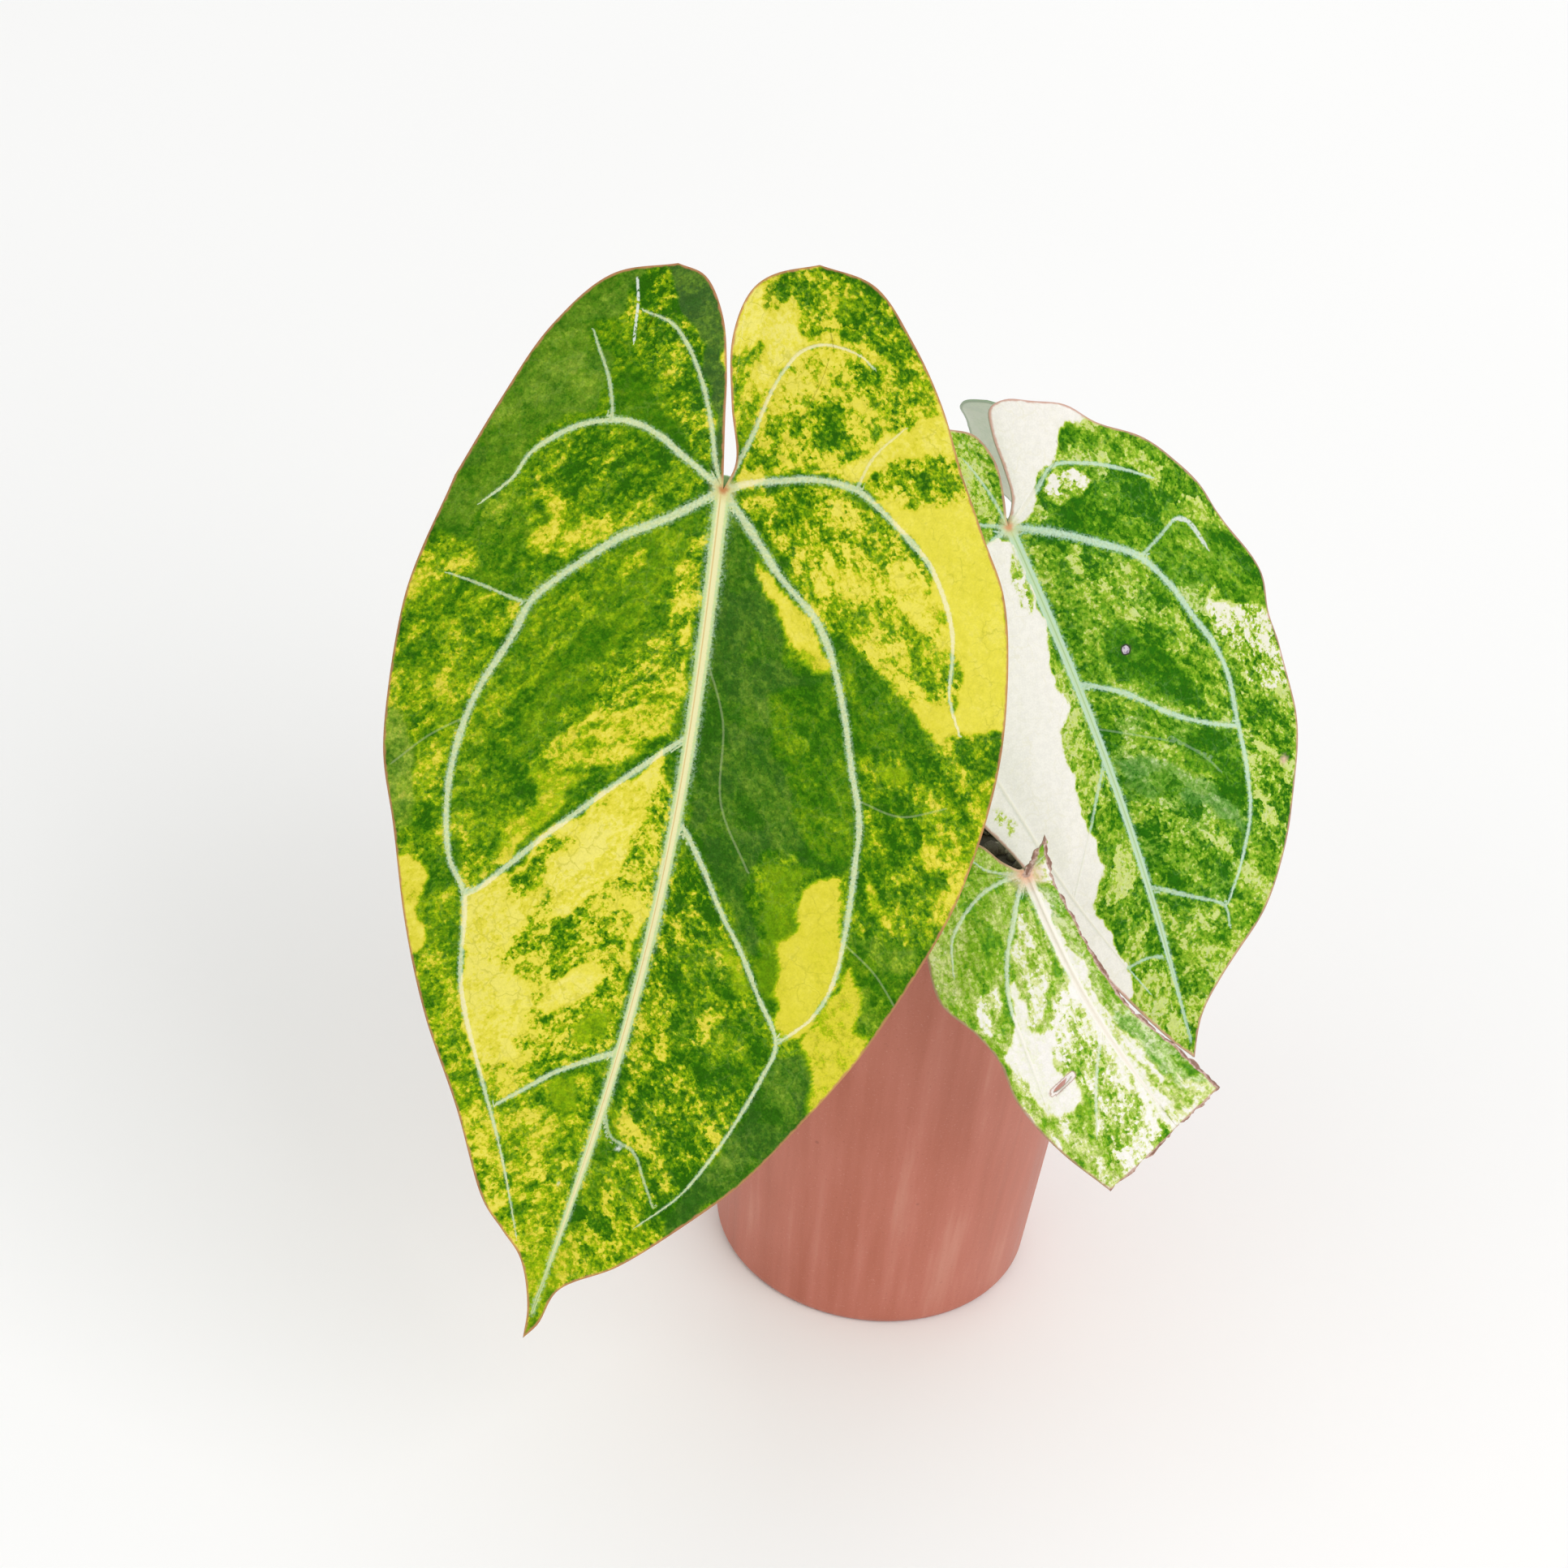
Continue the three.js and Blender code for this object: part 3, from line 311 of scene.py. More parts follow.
# Colour zones, painted in order over each blade's ground: a tone from dark green (0) to the
# palest colour (1), how mottled the zone is, how bluish it is, and its outline in the leaf's plane
# The bluish cast of a zone is partly the leaf's own colour and partly a painted sheen of its surface.
LARGE_ZONES = [
    ("left lobe: dark and bluish outside", 0.24, 0.2, 0.5, [
        (-18, 37), (-25, 34), (-32, 27), (-37, 18), (-40, 9), (-43, 1), (-46, -8), (-47, -18), (-40, -20),
        (-36, -8), (-31, 4), (-24, 9), (-24, 17), (-28, 21), (-23, 26), (-23, 31)]),
    ("left lobe: dark along the sinus", 0.06, 0.3, 0.9, [
        (-18, 37), (-10, 35), (-6, 30), (-3, 20), (-1, 12), (0, 5), (-2, 2), (-4, 9), (-7, 17), (-11, 23),
        (-14, 27), (-17, 31)]),
    ("left lobe: speckled", 0.24, 0.8, 0, [
        (-22, 34), (-18, 35), (-16, 31), (-11, 25), (-7, 18), (-4, 8), (-3, 3), (-8, 7), (-13, 13),
        (-19, 19), (-23, 26)]),
    ("left lobe: plain green by its inner vein", 0.11, 0.2, 0, [
        (-21, 9), (-21, 17), (-14, 11), (-8, 7), (-3, 2), (-9, 5), (-15, 8)]),
    ("left lobe: mottled under its arched vein", 0.26, 0.6, 0, [
        (-34, -6), (-31, 1), (-22, 6), (-14, 5), (-7, 2), (-1, -1), (-8, -7), (-16, -12), (-26, -11)]),
    ("left lobe: yellow patch", 0.57, 0.5, 0, [
        (-31, -7), (-28, -7), (-22, -9), (-16, -11), (-18, -14), (-23, -17), (-28, -18), (-30, -15),
        (-27, -12)]),
    ("left side: green by the margin", 0.2, 0.35, 0.2, [
        (-47, -20), (-40, -17), (-38, -10), (-32, -8), (-30, -16), (-29, -20), (-31, -26), (-38, -25),
        (-43, -25)]),
    ("left side: mottled margin", 0.45, 0.6, 0, [
        (-48, -19), (-42, -18), (-38, -21), (-39, -24), (-43, -26), (-46, -27), (-49, -27)]),
    ("left side: yellow margin spot", 0.47, 0.4, 0, [
        (-49, -26), (-45, -26), (-45, -31), (-49, -33)]),
    ("left side: band outside the long vein", 0.31, 0.55, 0, [
        (-49, -33), (-43, -27), (-29, -27), (-31, -38), (-33, -50), (-33, -62), (-32, -70), (-41, -74),
        (-47, -58), (-49, -50), (-50, -40)]),
    ("left side: brighter specks in the band", 0.35, 0.5, 0, [
        (-44, -41), (-41, -38), (-36, -43), (-35, -52), (-39, -55), (-43, -49)]),
    ("left side: dark outer margin", 0.36, 0.3, 0.6, [
        (-49, -50), (-44, -50), (-39, -64), (-41, -73), (-47, -58)]),
    ("left panel: dark along the long vein", 0.29, 0.4, 0.1, [
        (-27, -27), (-23, -19), (-17, -14), (-12, -11), (-13, -19), (-17, -28), (-22, -37), (-27, -47),
        (-30, -58), (-30, -70), (-33, -62), (-33, -50), (-31, -39), (-29, -32)]),
    ("left panel: plain green middle", 0.25, 0.25, 0, [
        (-11, -11), (-2, -4), (-4, -9), (-6, -18), (-8, -26), (-13, -32), (-15, -40), (-21, -48),
        (-25, -53), (-22, -37), (-16, -26)]),
    ("left panel: small yellow streak", 0.5, 0.5, 0, [
        (-14, -18), (-14, -15), (-10, -13), (-10, -16), (-13, -19)]),
    ("left panel: speckled along the midrib", 0.61, 0.7, 0, [
        (-5, -18), (-3, -12), (-1, -8), (0, -16), (1, -25), (1, -31), (-2, -35), (-8, -34), (-6, -29),
        (-4, -23)]),
    ("left panel: speckled streaks", 0.25, 0.75, 0, [
        (-13, -36), (-7, -30), (-4, -25), (0, -29), (0, -35), (-5, -39), (-12, -42)]),
    ("left panel: yellow patch above the side vein", 0.6, 0.5, 0, [
        (-21, -52), (-19, -48), (-15, -45), (-11, -41), (-5, -38), (1, -32), (1, -39), (0, -43), (-6, -48),
        (-11, -52), (-17, -54)]),
    ("left panel: lime below the patch", 0.56, 0.2, 0, [
        (-21, -52), (-17, -54), (-11, -53), (-14, -57), (-16, -62), (-21, -68), (-24, -70), (-21, -63),
        (-19, -57)]),
    ("left panel: specks at the lower corner", 0.44, 0.7, 0, [
        (-31, -66), (-24, -69), (-21, -68), (-24, -74), (-27, -76), (-29, -73)]),
    ("lower left panel: pale yellow", 0.85, 0.35, 0, [
        (1, -45), (-7, -54), (-15, -63), (-23, -74), (-27, -77), (-25, -84), (-24, -94), (-21, -101),
        (-15, -109), (-12, -110), (-6, -103), (3, -97), (3, -87), (4, -75), (4, -64), (3, -54)]),
    ("lower left panel: green blot", 0.56, 0.8, 0, [
        (-20, -72), (-17, -67), (-14, -64), (-11, -63), (-11, -66), (-14, -68), (-15, -73), (-17, -74),
        (-20, -78), (-20, -75)]),
    ("lower left panel: mottled green", 0.55, 0.9, 0, [
        (-14, -74), (-7, -68), (-1, -60), (2, -59), (2, -69), (2, -76), (3, -87), (3, -97), (-6, -103),
        (-11, -101), (-13, -94), (-9, -92), (-11, -91), (-17, -88), (-19, -86), (-16, -80)]),
    ("lower left panel: yellow streaks by the side vein", 0.88, 0.35, 0, [
        (-13, -75), (-9, -63), (-4, -58), (-1, -55), (-2, -65), (-4, -70), (-9, -76)]),
    ("lower left panel: yellow oval", 0.88, 0.08, 0, [
        (-10, -92), (-9, -88), (-5, -84), (-1, -83), (-1, -86), (-4, -90), (-9, -93)]),
    ("lower left panel: green lower corner", 0.48, 0.7, 0, [
        (-17, -105), (-14, -104), (-7, -100), (-6, -103), (-12, -110), (-15, -109)]),
    ("lower left panel: lime oval", 0.47, 0.15, 0, [
        (-4, -97), (-3, -93), (2, -91), (2, -95), (-2, -98)]),
    ("green strip along the midrib", 0.65, 0.8, 0, [
        (1, -46), (4, -54), (4, -63), (4, -73), (0, -69), (0, -63), (0, -54)]),
    ("left margin: yellow stretch", 0.79, 0.2, 0, [
        (-41, -73), (-35, -74), (-33, -77), (-34, -81), (-32, -85), (-34, -89), (-38, -83)]),
    ("left margin: mottled stretch", 0.4, 0.6, 0, [
        (-32, -88), (-28, -86), (-24, -94), (-21, -101), (-14, -111), (-11, -118), (-16, -118), (-22, -110),
        (-28, -102), (-32, -95)]),
    ("left margin: yellow lower stretch", 0.57, 0.6, 0, [
        (-23, -109), (-19, -110), (-15, -112), (-12, -118), (-16, -121), (-19, -116)]),
    ("tip panel, left: mottled", 0.38, 0.6, 0, [
        (-12, -111), (-6, -104), (3, -98), (6, -107), (5, -113), (4, -122), (3, -131), (1, -139),
        (-2, -136), (-5, -132), (-10, -122)]),
    ("tip panel, left: lime oval", 0.42, 0.12, 0, [
        (-5, -108), (-4, -104), (-1, -103), (0, -107), (-3, -110)]),
    ("tip panel, left: yellow specks", 0.56, 0.7, 0, [
        (-9, -120), (-5, -117), (-2, -121), (-3, -126), (-7, -126)]),
    ("left margin: towards the tip", 0.7, 0.8, 0, [
        (-16, -119), (-11, -119), (-7, -127), (-4, -134), (-10, -129)]),
    ("right lobe: yellow ground", 0.74, 0.5, 0, [
        (-6, 26), (-5, 33), (0, 39), (7, 43), (15, 43), (24, 37), (31, 29), (37, 20), (43, 8), (32, 4),
        (22, 6), (15, 6), (5, 3), (2, 1), (2, 7), (-4, 19)]),
    ("right lobe: dark mottled top", 0.32, 0.85, 0, [
        (-1, 35), (4, 41), (12, 43), (20, 39), (27, 34), (30, 28), (21, 29), (13, 30), (8, 29), (6, 32),
        (4, 34), (0, 32)]),
    ("right lobe: yellow streak in the top", 0.43, 0.5, 0, [
        (10, 35), (13, 39), (17, 37), (16, 34), (12, 32)]),
    ("right lobe: pale yellow by the sinus", 0.88, 0.25, 0, [
        (-5, 23), (-5, 29), (-4, 34), (-1, 36), (0, 32), (5, 33), (7, 29), (5, 24), (3, 18), (1, 21),
        (0, 26), (-2, 24)]),
    ("right lobe: green by the sinus", 0.43, 0.6, 0, [
        (-4, 20), (-1, 25), (0, 26), (0, 22), (-1, 19), (0, 17), (3, 18), (3, 13), (2, 7), (-1, 11)]),
    ("right lobe: lime inside its vein", 0.59, 0.7, 0, [
        (5, 16), (5, 22), (8, 25), (12, 26), (12, 22), (13, 19), (9, 15)]),
    ("right lobe: mottled streaks", 0.48, 0.85, 0, [
        (3, 5), (3, 12), (9, 15), (13, 19), (12, 25), (19, 27), (27, 27), (29, 19), (24, 14), (21, 9),
        (12, 6)]),
    ("right lobe: mottled margin", 0.62, 0.7, 0, [
        (25, 30), (31, 29), (36, 20), (32, 20), (28, 22)]),
    ("right side: yellow band", 0.84, 0.2, 0, [
        (19, 8), (24, 14), (29, 19), (35, 21), (39, 15), (33, 14), (27, 11), (23, 7)]),
    ("right side: speckled green", 0.6, 0.85, 0, [
        (24, 8), (27, 11), (32, 13), (39, 15), (43, 6), (35, 6), (32, 4), (26, 5)]),
    ("right margin: plain yellow", 0.82, 0.05, 0, [
        (23, 5), (32, 4), (35, 6), (43, 7), (48, 1), (52, -8), (55, -18), (57, -30), (49, -33), (47, -27),
        (44, -17), (39, -9), (34, -2), (28, 2)]),
    ("right panel: mixed streaks", 0.62, 0.85, 0, [
        (3, 0), (16, 4), (23, 3), (31, -1), (39, -9), (44, -17), (46, -27), (40, -27), (31, -21), (22, -19),
        (13, -10), (7, -5)]),
    ("right panel: dark streak, upper", 0.55, 0.75, 0, [
        (4, 0), (13, 2), (18, 0), (24, -2), (31, -4), (28, -7), (21, -4), (13, -5), (7, -2)]),
    ("right panel: dark spot", 0.43, 0.6, 0, [
        (14, -11), (17, -11), (21, -14), (18, -16), (16, -14)]),
    ("right panel: yellow streak, upper", 0.7, 0.5, 0, [
        (19, -9), (30, -8), (39, -9), (43, -16), (36, -12), (27, -11), (19, -13)]),
    ("right panel: dark streak, middle", 0.38, 0.6, 0, [
        (22, -17), (23, -13), (31, -13), (36, -14), (41, -17), (34, -18), (26, -19)]),
    ("right panel: yellow streak, lower", 0.56, 0.7, 0, [
        (22, -18), (33, -21), (37, -24), (46, -26), (45, -28), (36, -26), (28, -22)]),
    ("right panel: dark streak, lower", 0.44, 0.6, 0, [
        (35, -21), (40, -17), (45, -19), (45, -23), (42, -24), (37, -24)]),
    ("right margin: yellow tongue", 0.76, 0.08, 0, [
        (39, -27), (46, -27), (49, -32), (44, -33), (40, -30)]),
    ("right side: dark behind the long vein", 0.14, 0.3, 0, [
        (23, -20), (28, -23), (36, -27), (40, -30), (43, -34), (38, -38), (33, -39), (29, -29)]),
    ("right side: mottled lower part", 0.27, 0.6, 0, [
        (33, -39), (43, -34), (57, -30), (59, -43), (58, -52), (56, -62), (52, -74), (49, -84), (40, -72),
        (38, -62), (37, -51)]),
    ("right side: lime spot", 0.42, 0.08, 0, [
        (37, -38), (41, -39), (42, -41), (38, -41)]),
    ("right margin: yellow lower edge", 0.58, 0.5, 0, [
        (54, -39), (57, -36), (59, -45), (57, -53), (56, -63), (51, -63), (53, -55), (48, -55), (47, -52),
        (54, -49), (53, -42)]),
    ("right side: yellow tongue by the vein", 0.64, 0.3, 0, [
        (38, -59), (41, -60), (45, -66), (43, -66), (40, -63)]),
    ("right side: greyish green", 0.24, 0.35, 0.3, [
        (38, -67), (45, -68), (51, -69), (50, -73), (48, -83), (45, -85), (40, -78)]),
    ("middle panel: bluish dark green", 0.1, 0.25, 0.5, [
        (1, -4), (3, -4), (9, -12), (13, -18), (19, -27), (24, -27), (28, -31), (32, -40), (36, -49),
        (36, -57), (32, -59), (21, -57), (20, -66), (24, -76), (21, -75), (16, -67), (9, -57), (5, -50),
        (4, -36), (3, -23)]),
    ("middle panel: green by the vein", 0.17, 0.3, 0, [
        (16, -33), (24, -28), (29, -33), (34, -47), (35, -57), (27, -56), (23, -46), (18, -39)]),
    ("middle panel: yellow wedge", 0.77, 0.15, 0, [
        (9, -12), (11, -12), (16, -16), (21, -19), (23, -23), (24, -25), (20, -24), (18, -23), (15, -21),
        (12, -17)]),
    ("middle panel: lime end of the wedge", 0.66, 0.15, 0, [
        (18, -23), (23, -23), (25, -26), (22, -27)]),
    ("middle panel: flat lime patch", 0.32, 0.05, 0, [
        (21, -57), (25, -59), (29, -59), (28, -64), (29, -68), (28, -75), (29, -82), (25, -80), (24, -73),
        (23, -65)]),
    ("middle panel: bright yellow patch", 0.73, 0.04, 0, [
        (30, -62), (33, -59), (35, -61), (37, -67), (38, -75), (37, -81), (34, -87), (30, -88), (29, -81),
        (27, -74), (29, -70), (29, -65)]),
    ("below the loop: yellow", 0.66, 0.1, 0, [
        (34, -88), (38, -80), (39, -74), (42, -77), (43, -84), (46, -85), (44, -93), (40, -100), (37, -95),
        (35, -90)]),
    ("below the loop: dark green", 0.1, 0.25, 0.5, [
        (31, -91), (35, -90), (37, -95), (38, -99), (39, -103), (33, -111), (26, -119), (21, -127),
        (18, -126), (21, -117), (26, -108), (29, -99)]),
    ("tip panel, right: mottled", 0.31, 0.85, 0, [
        (5, -63), (11, -62), (17, -70), (23, -79), (29, -89), (29, -98), (25, -108), (21, -116), (16, -122),
        (13, -116), (8, -111), (7, -102), (5, -95), (5, -83), (5, -73)]),
    ("tip panel, right: yellow by the midrib", 0.55, 0.8, 0, [
        (7, -94), (6, -86), (10, -84), (13, -87), (13, -94), (10, -101), (9, -106), (13, -110), (16, -109),
        (16, -115), (12, -112), (8, -110), (7, -100)]),
    ("tip panel, right: dark middle", 0.16, 0.6, 0.1, [
        (9, -78), (15, -76), (21, -81), (23, -82), (19, -85), (16, -92), (17, -96), (13, -95), (12, -85)]),
    ("tip panel, right: lime by the vein", 0.46, 0.12, 0, [
        (15, -73), (18, -75), (24, -81), (21, -83), (19, -79)]),
    ("tip panel, right: plain green", 0.13, 0.5, 0, [
        (19, -90), (24, -84), (29, -89), (28, -97), (24, -99), (18, -98)]),
    ("tip: mottled right edge", 0.44, 0.7, 0, [
        (3, -140), (4, -131), (7, -122), (10, -113), (13, -116), (16, -122), (19, -123), (19, -127),
        (14, -132), (9, -136)]),
    ("tip: plain green", 0.44, 0.3, 0, [
        (-4, -136), (1, -132), (5, -134), (3, -141), (0, -150)]),
]

HALF_MOON_ZONES = [
    ("right lobe: white", 1, 0.02, 0, [
        (4, 21), (9, 23), (15, 20), (21, 16), (24, 12), (18, 12), (16, 12), (12, 7), (9, 6), (6, 3), (1, 0),
        (0, 2), (2, 11), (3, 15)]),
    ("right lobe: green along the top", 0.43, 0.5, 0, [
        (15, 11), (23, 13), (30, 9), (37, 3), (45, -7), (47, -16), (35, -11), (28, 0), (19, 5), (12, 7)]),
    ("right lobe: cream mottling", 0.84, 0.6, 0, [
        (7, 3), (12, 5), (18, 3), (12, 0)]),
    ("right lobe: green fan", 0.18, 0.4, 0, [
        (2, 0), (12, 0), (21, 2), (29, -2), (35, -11), (24, -14), (14, -8), (6, -3)]),
    ("right side: dark green", 0.17, 0.35, 0, [
        (24, -14), (35, -11), (38, -17), (46, -16), (47, -27), (47, -37), (34, -26), (29, -22), (25, -17)]),
    ("right margin: cream mottling", 0.56, 0.8, 0, [
        (32, -26), (37, -29), (46, -34), (48, -42), (47, -48), (36, -44), (36, -40), (33, -34), (30, -29)]),
    ("right margin: mottled", 0.37, 0.7, 0, [
        (34, -44), (47, -50), (41, -62), (37, -70), (31, -77), (23, -76), (27, -65), (29, -55)]),
    ("main panel: green", 0.3, 0.5, 0, [
        (2, -2), (13, -9), (21, -15), (24, -22), (29, -32), (31, -42), (29, -48), (20, -43), (12, -36),
        (4, -32), (1, -23), (2, -12)]),
    ("main panel: light mottling", 0.47, 0.6, 0.2, [
        (6, -7), (16, -12), (21, -19), (23, -25), (18, -26), (13, -18), (8, -11)]),
    ("main panel: dark green", 0.08, 0.25, 0, [
        (11, -23), (17, -27), (21, -34), (25, -45), (14, -37), (8, -29)]),
    ("lower panel: green", 0.26, 0.5, 0.2, [
        (3, -31), (13, -38), (28, -51), (27, -59), (24, -69), (19, -76), (16, -79), (3, -72), (3, -60),
        (2, -47)]),
    ("lower panel: sage green", 0.27, 0.3, 0.6, [
        (4, -45), (14, -51), (23, -62), (24, -69), (18, -62), (12, -57), (4, -53)]),
    ("lower panel: dark green", 0.05, 0.3, 0, [
        (19, -47), (27, -51), (27, -61), (24, -64), (21, -56), (16, -52)]),
    ("lower panel: speckled", 0.33, 0.6, 0.2, [
        (4, -54), (12, -57), (18, -63), (19, -71), (10, -67), (3, -60)]),
    ("right margin: lower", 0.46, 0.45, 0, [
        (25, -69), (31, -77), (24, -83), (15, -90), (5, -94), (15, -82), (17, -78), (23, -73)]),
    ("tip: right of the midrib", 0.35, 0.6, 0, [
        (3, -73), (15, -80), (15, -84), (10, -89), (5, -97), (-1, -104), (-1, -96), (0, -86)]),
    ("left side: white", 1, 0.02, 0, [
        (-1, -2), (0, -6), (0, -15), (-1, -23), (-2, -34), (-4, -40), (-4, -48), (-4, -55), (-6, -64),
        (-7, -70), (-8, -77), (-7, -83), (-10, -87), (-14, -81), (-17, -73), (-20, -64), (-23, -56),
        (-25, -46), (-19, -28), (-14, -13), (-6, -1)]),
    ("left side: pale green streaks by the sinus", 0.64, 0.5, 0, [
        (-1, -3), (0, -8), (-2, -16), (-4, -13)]),
    ("left side: pale green by the lower margin", 0.9, 0.5, 0, [
        (-23, -44), (-20, -46), (-20, -53), (-22, -50)]),
    ("left side: lime band along the midrib", 0.41, 0.55, 0, [
        (0, -17), (0, -22), (0, -31), (0, -38), (-1, -49), (0, -61), (1, -70), (0, -82), (-4, -85),
        (-7, -82), (-9, -76), (-9, -66), (-5, -61), (-6, -54), (-6, -44), (-5, -38), (-2, -35), (-3, -30),
        (-2, -25)]),
    ("tip: left of the midrib", 0.42, 0.6, 0, [
        (-8, -82), (0, -82), (0, -90), (-1, -100), (-5, -96), (-9, -87)]),
    ("left lobe: mottled", 0.48, 0.6, 0, [
        (-3, 21), (3, 18), (3, 11), (0, 1), (-2, 1), (-7, 3), (-9, 9)]),
]

TRIMMED_ZONES = [
    ("left side: green", 0.44, 0.38, 0, [
        (-4.5, 10.5), (0, 1.5), (-6, -3), (-11.5, -12), (-17, -23), (-22, -26), (-26, -15), (-25, -7.5),
        (-23.5, -2.5), (-16, 2), (-10, 5.5)]),
    ("left side: silvery by the sinus", 0.38, 0.4, 0, [
        (-7, 6.5), (-1.5, 0.5), (-4.5, 0), (-12.5, 0)]),
    ("left side: cream mottling", 0.76, 0.45, 0, [
        (-17.5, -14), (-15, -14), (-16, -18.5), (-19.5, -20.5), (-20, -17.5)]),
    ("white band inside the left vein", 0.93, 0.2, 0, [
        (-12.5, -15), (-11, -15.5), (-13, -24.5), (-10.5, -26.5), (-13.5, -32.5), (-10.5, -34.5),
        (-13.5, -40.5), (-16.5, -41), (-19, -38), (-18.5, -32), (-20.5, -26.5), (-19, -24),
        (-16.5, -23.5)]),
    ("centre: lime mottling", 0.63, 0.5, 0, [
        (-5.5, -6), (-1.5, -3.5), (-2.5, -9), (-3.5, -14.5), (-7, -19.5), (-11.5, -24.5), (-13, -24),
        (-11.5, -16.5), (-9, -11)]),
    ("centre: mottled lower part", 0.62, 0.8, 0, [
        (-8, -22.5), (-2, -21.5), (-2, -28.5), (-3, -39), (-1.5, -46), (-0.5, -53.5), (-6.5, -56.5),
        (-12.5, -56), (-13, -51), (-11.5, -42.5), (-10.5, -34.5), (-12, -31)]),
    ("midrib band: white", 0.81, 0.4, 0, [
        (0, -1), (0.5, -4), (0.5, -13), (0.5, -21), (0.5, -29), (1.5, -37), (2.5, -45), (5, -52), (0, -54),
        (-3, -47), (-4.5, -40), (-4.8, -32), (-4.4, -25), (-3.4, -20), (-3, -15), (-2, -9)]),
    ("right side: sage green", 0.46, 0.5, 0.4, [
        (0.5, -3.5), (3.5, -6.5), (4, -14), (4, -22), (4, -28.5), (6.5, -36), (8.5, -43), (10.5, -50.5),
        (6.5, -51), (3, -44), (1, -35.5), (0, -28), (0.5, -20), (0, -12.5)]),
    ("right side: cream mottling", 0.51, 0.45, 0, [
        (-1, -35.5), (2.5, -45.5), (5.5, -50.5), (2.5, -50), (-0.5, -40.5)]),
    ("right corner: white", 0.62, 0.4, 0, [
        (5.5, -44), (7, -47.5), (9, -51), (6, -52.5), (4.5, -47.5)]),
    ("right corner: green", 0.1, 0.1, 0, [
        (6, -41.5), (10, -47), (11, -51), (7.5, -46)]),
    ("lower left margin: green", 0.65, 0.45, 0, [
        (-18.5, -29.5), (-18.5, -34), (-19, -40), (-22, -41), (-23, -36), (-21.5, -29)]),
    ("lower left: lime mottling", 0.6, 0.5, 0, [
        (-18.5, -40), (-14, -43), (-13.5, -48.5), (-13, -53), (-9.5, -55.5), (-16.5, -57.5), (-19, -50.5),
        (-20, -43.5)]),
    ("right lobe", 0.84, 0.5, 0, [
        (0.5, 0.5), (3.5, 1), (5.5, -1.5), (4, -5), (1.5, -2.5)]),
]

BACK_ZONES = [
    ("one half paler", 0.62, 0.5, 0.2, [
        (0, 0), (12, 17), (23, 10), (22, -12), (12, -45), (2, -66), (1, -30)]),
    ("green streak in the pale half", 0.2, 0.5, 0, [
        (4, -8), (14, -16), (15, -34), (8, -40), (6, -22)]),
    ("pale streak in the green half", 0.7, 0.5, 0, [
        (-5, -4), (-16, -2), (-18, -12), (-9, -18)]),
]

# Ground tone, mottling and bluishness of each blade, and its zones
MARKINGS = {
    "large_leaf": ((0.22, 0.45, 0), LARGE_ZONES),
    "half_moon_leaf": ((0.28, 0.5, 0.1), HALF_MOON_ZONES),
    "trimmed_leaf": ((0.36, 0.4, 0.05), TRIMMED_ZONES),
    "back_leaf": ((0.2, 0.5, 0.3), BACK_ZONES),
}


# Lines and outlines
def smooth_line(points, per_span=16):
    """A centripetal Catmull-Rom curve through the points, closely sampled."""
    points = np.array(points, float)
    if len(points) == 2:
        return np.linspace(points[0], points[1], per_span + 1)
    ends = np.vstack([2 * points[0] - points[1], points, 2 * points[-1] - points[-2]])
    share = np.linspace(0, 1, per_span, endpoint=False)[:, None]
    spans = []
    for a, b, c, d in zip(ends, ends[1:], ends[2:], ends[3:]):
        ab, bc, cd = (math.sqrt(np.linalg.norm(q - p)) for p, q in ((a, b), (b, c), (c, d)))
        leave = ((b - a) / ab - (c - a) / (ab + bc) + (c - b) / bc) * bc
        arrive = ((c - b) / bc - (d - b) / (bc + cd) + (d - c) / cd) * bc
        square = 3 * (c - b) - 2 * leave - arrive
        cube = 2 * (b - c) + leave + arrive
        spans.append(b + leave * share + square * share**2 + cube * share**3)
    return np.vstack(spans + [points[-1:]])


def length_along(line):
    steps = np.linalg.norm(np.diff(line, axis=0), axis=1)
    return np.concatenate([[0], np.cumsum(steps)])


def even_line(points, count):
    """The smooth line cut into equal lengths."""
    line = smooth_line(points)
    along = length_along(line)
    at = np.linspace(0, along[-1], count + 1)
    return np.stack([np.interp(at, along, line[:, axis]) for axis in range(2)], axis=1)


def line_distance(points, line):
    """Distance from each point to a line, its nearest place's share of the line's length, and its side."""
    along = length_along(line)
    best = np.full(len(points), np.inf)
    share = np.zeros(len(points))
    side = np.ones(len(points))
    for i in range(len(line) - 1):
        step = line[i + 1] - line[i]
        t = np.clip(((points - line[i]) @ step) / max(step @ step, 1e-12), 0, 1)
        offset = points - line[i]
        distance = np.linalg.norm(offset - t[:, None] * step, axis=1)
        near = distance < best
        best[near] = distance[near]
        share[near] = (along[i] + t[near] * (along[i + 1] - along[i])) / along[-1]
        side[near] = np.sign(offset[near, 1] * step[0] - offset[near, 0] * step[1])
    return best, share, side


def smoothstep(value):
    value = np.clip(value, 0, 1)
    return value * value * (3 - 2 * value)


def inside_outline(points, outline):
    inside = np.zeros(len(points), bool)
    x, y = points.T
    for (x1, y1), (x2, y2) in zip(outline, np.roll(outline, -1, axis=0)):
        if y1 != y2:
            crosses = ((y1 > y) != (y2 > y)) & (x < (x2 - x1) * (y - y1) / (y2 - y1) + x1)
            inside ^= crosses
    return inside


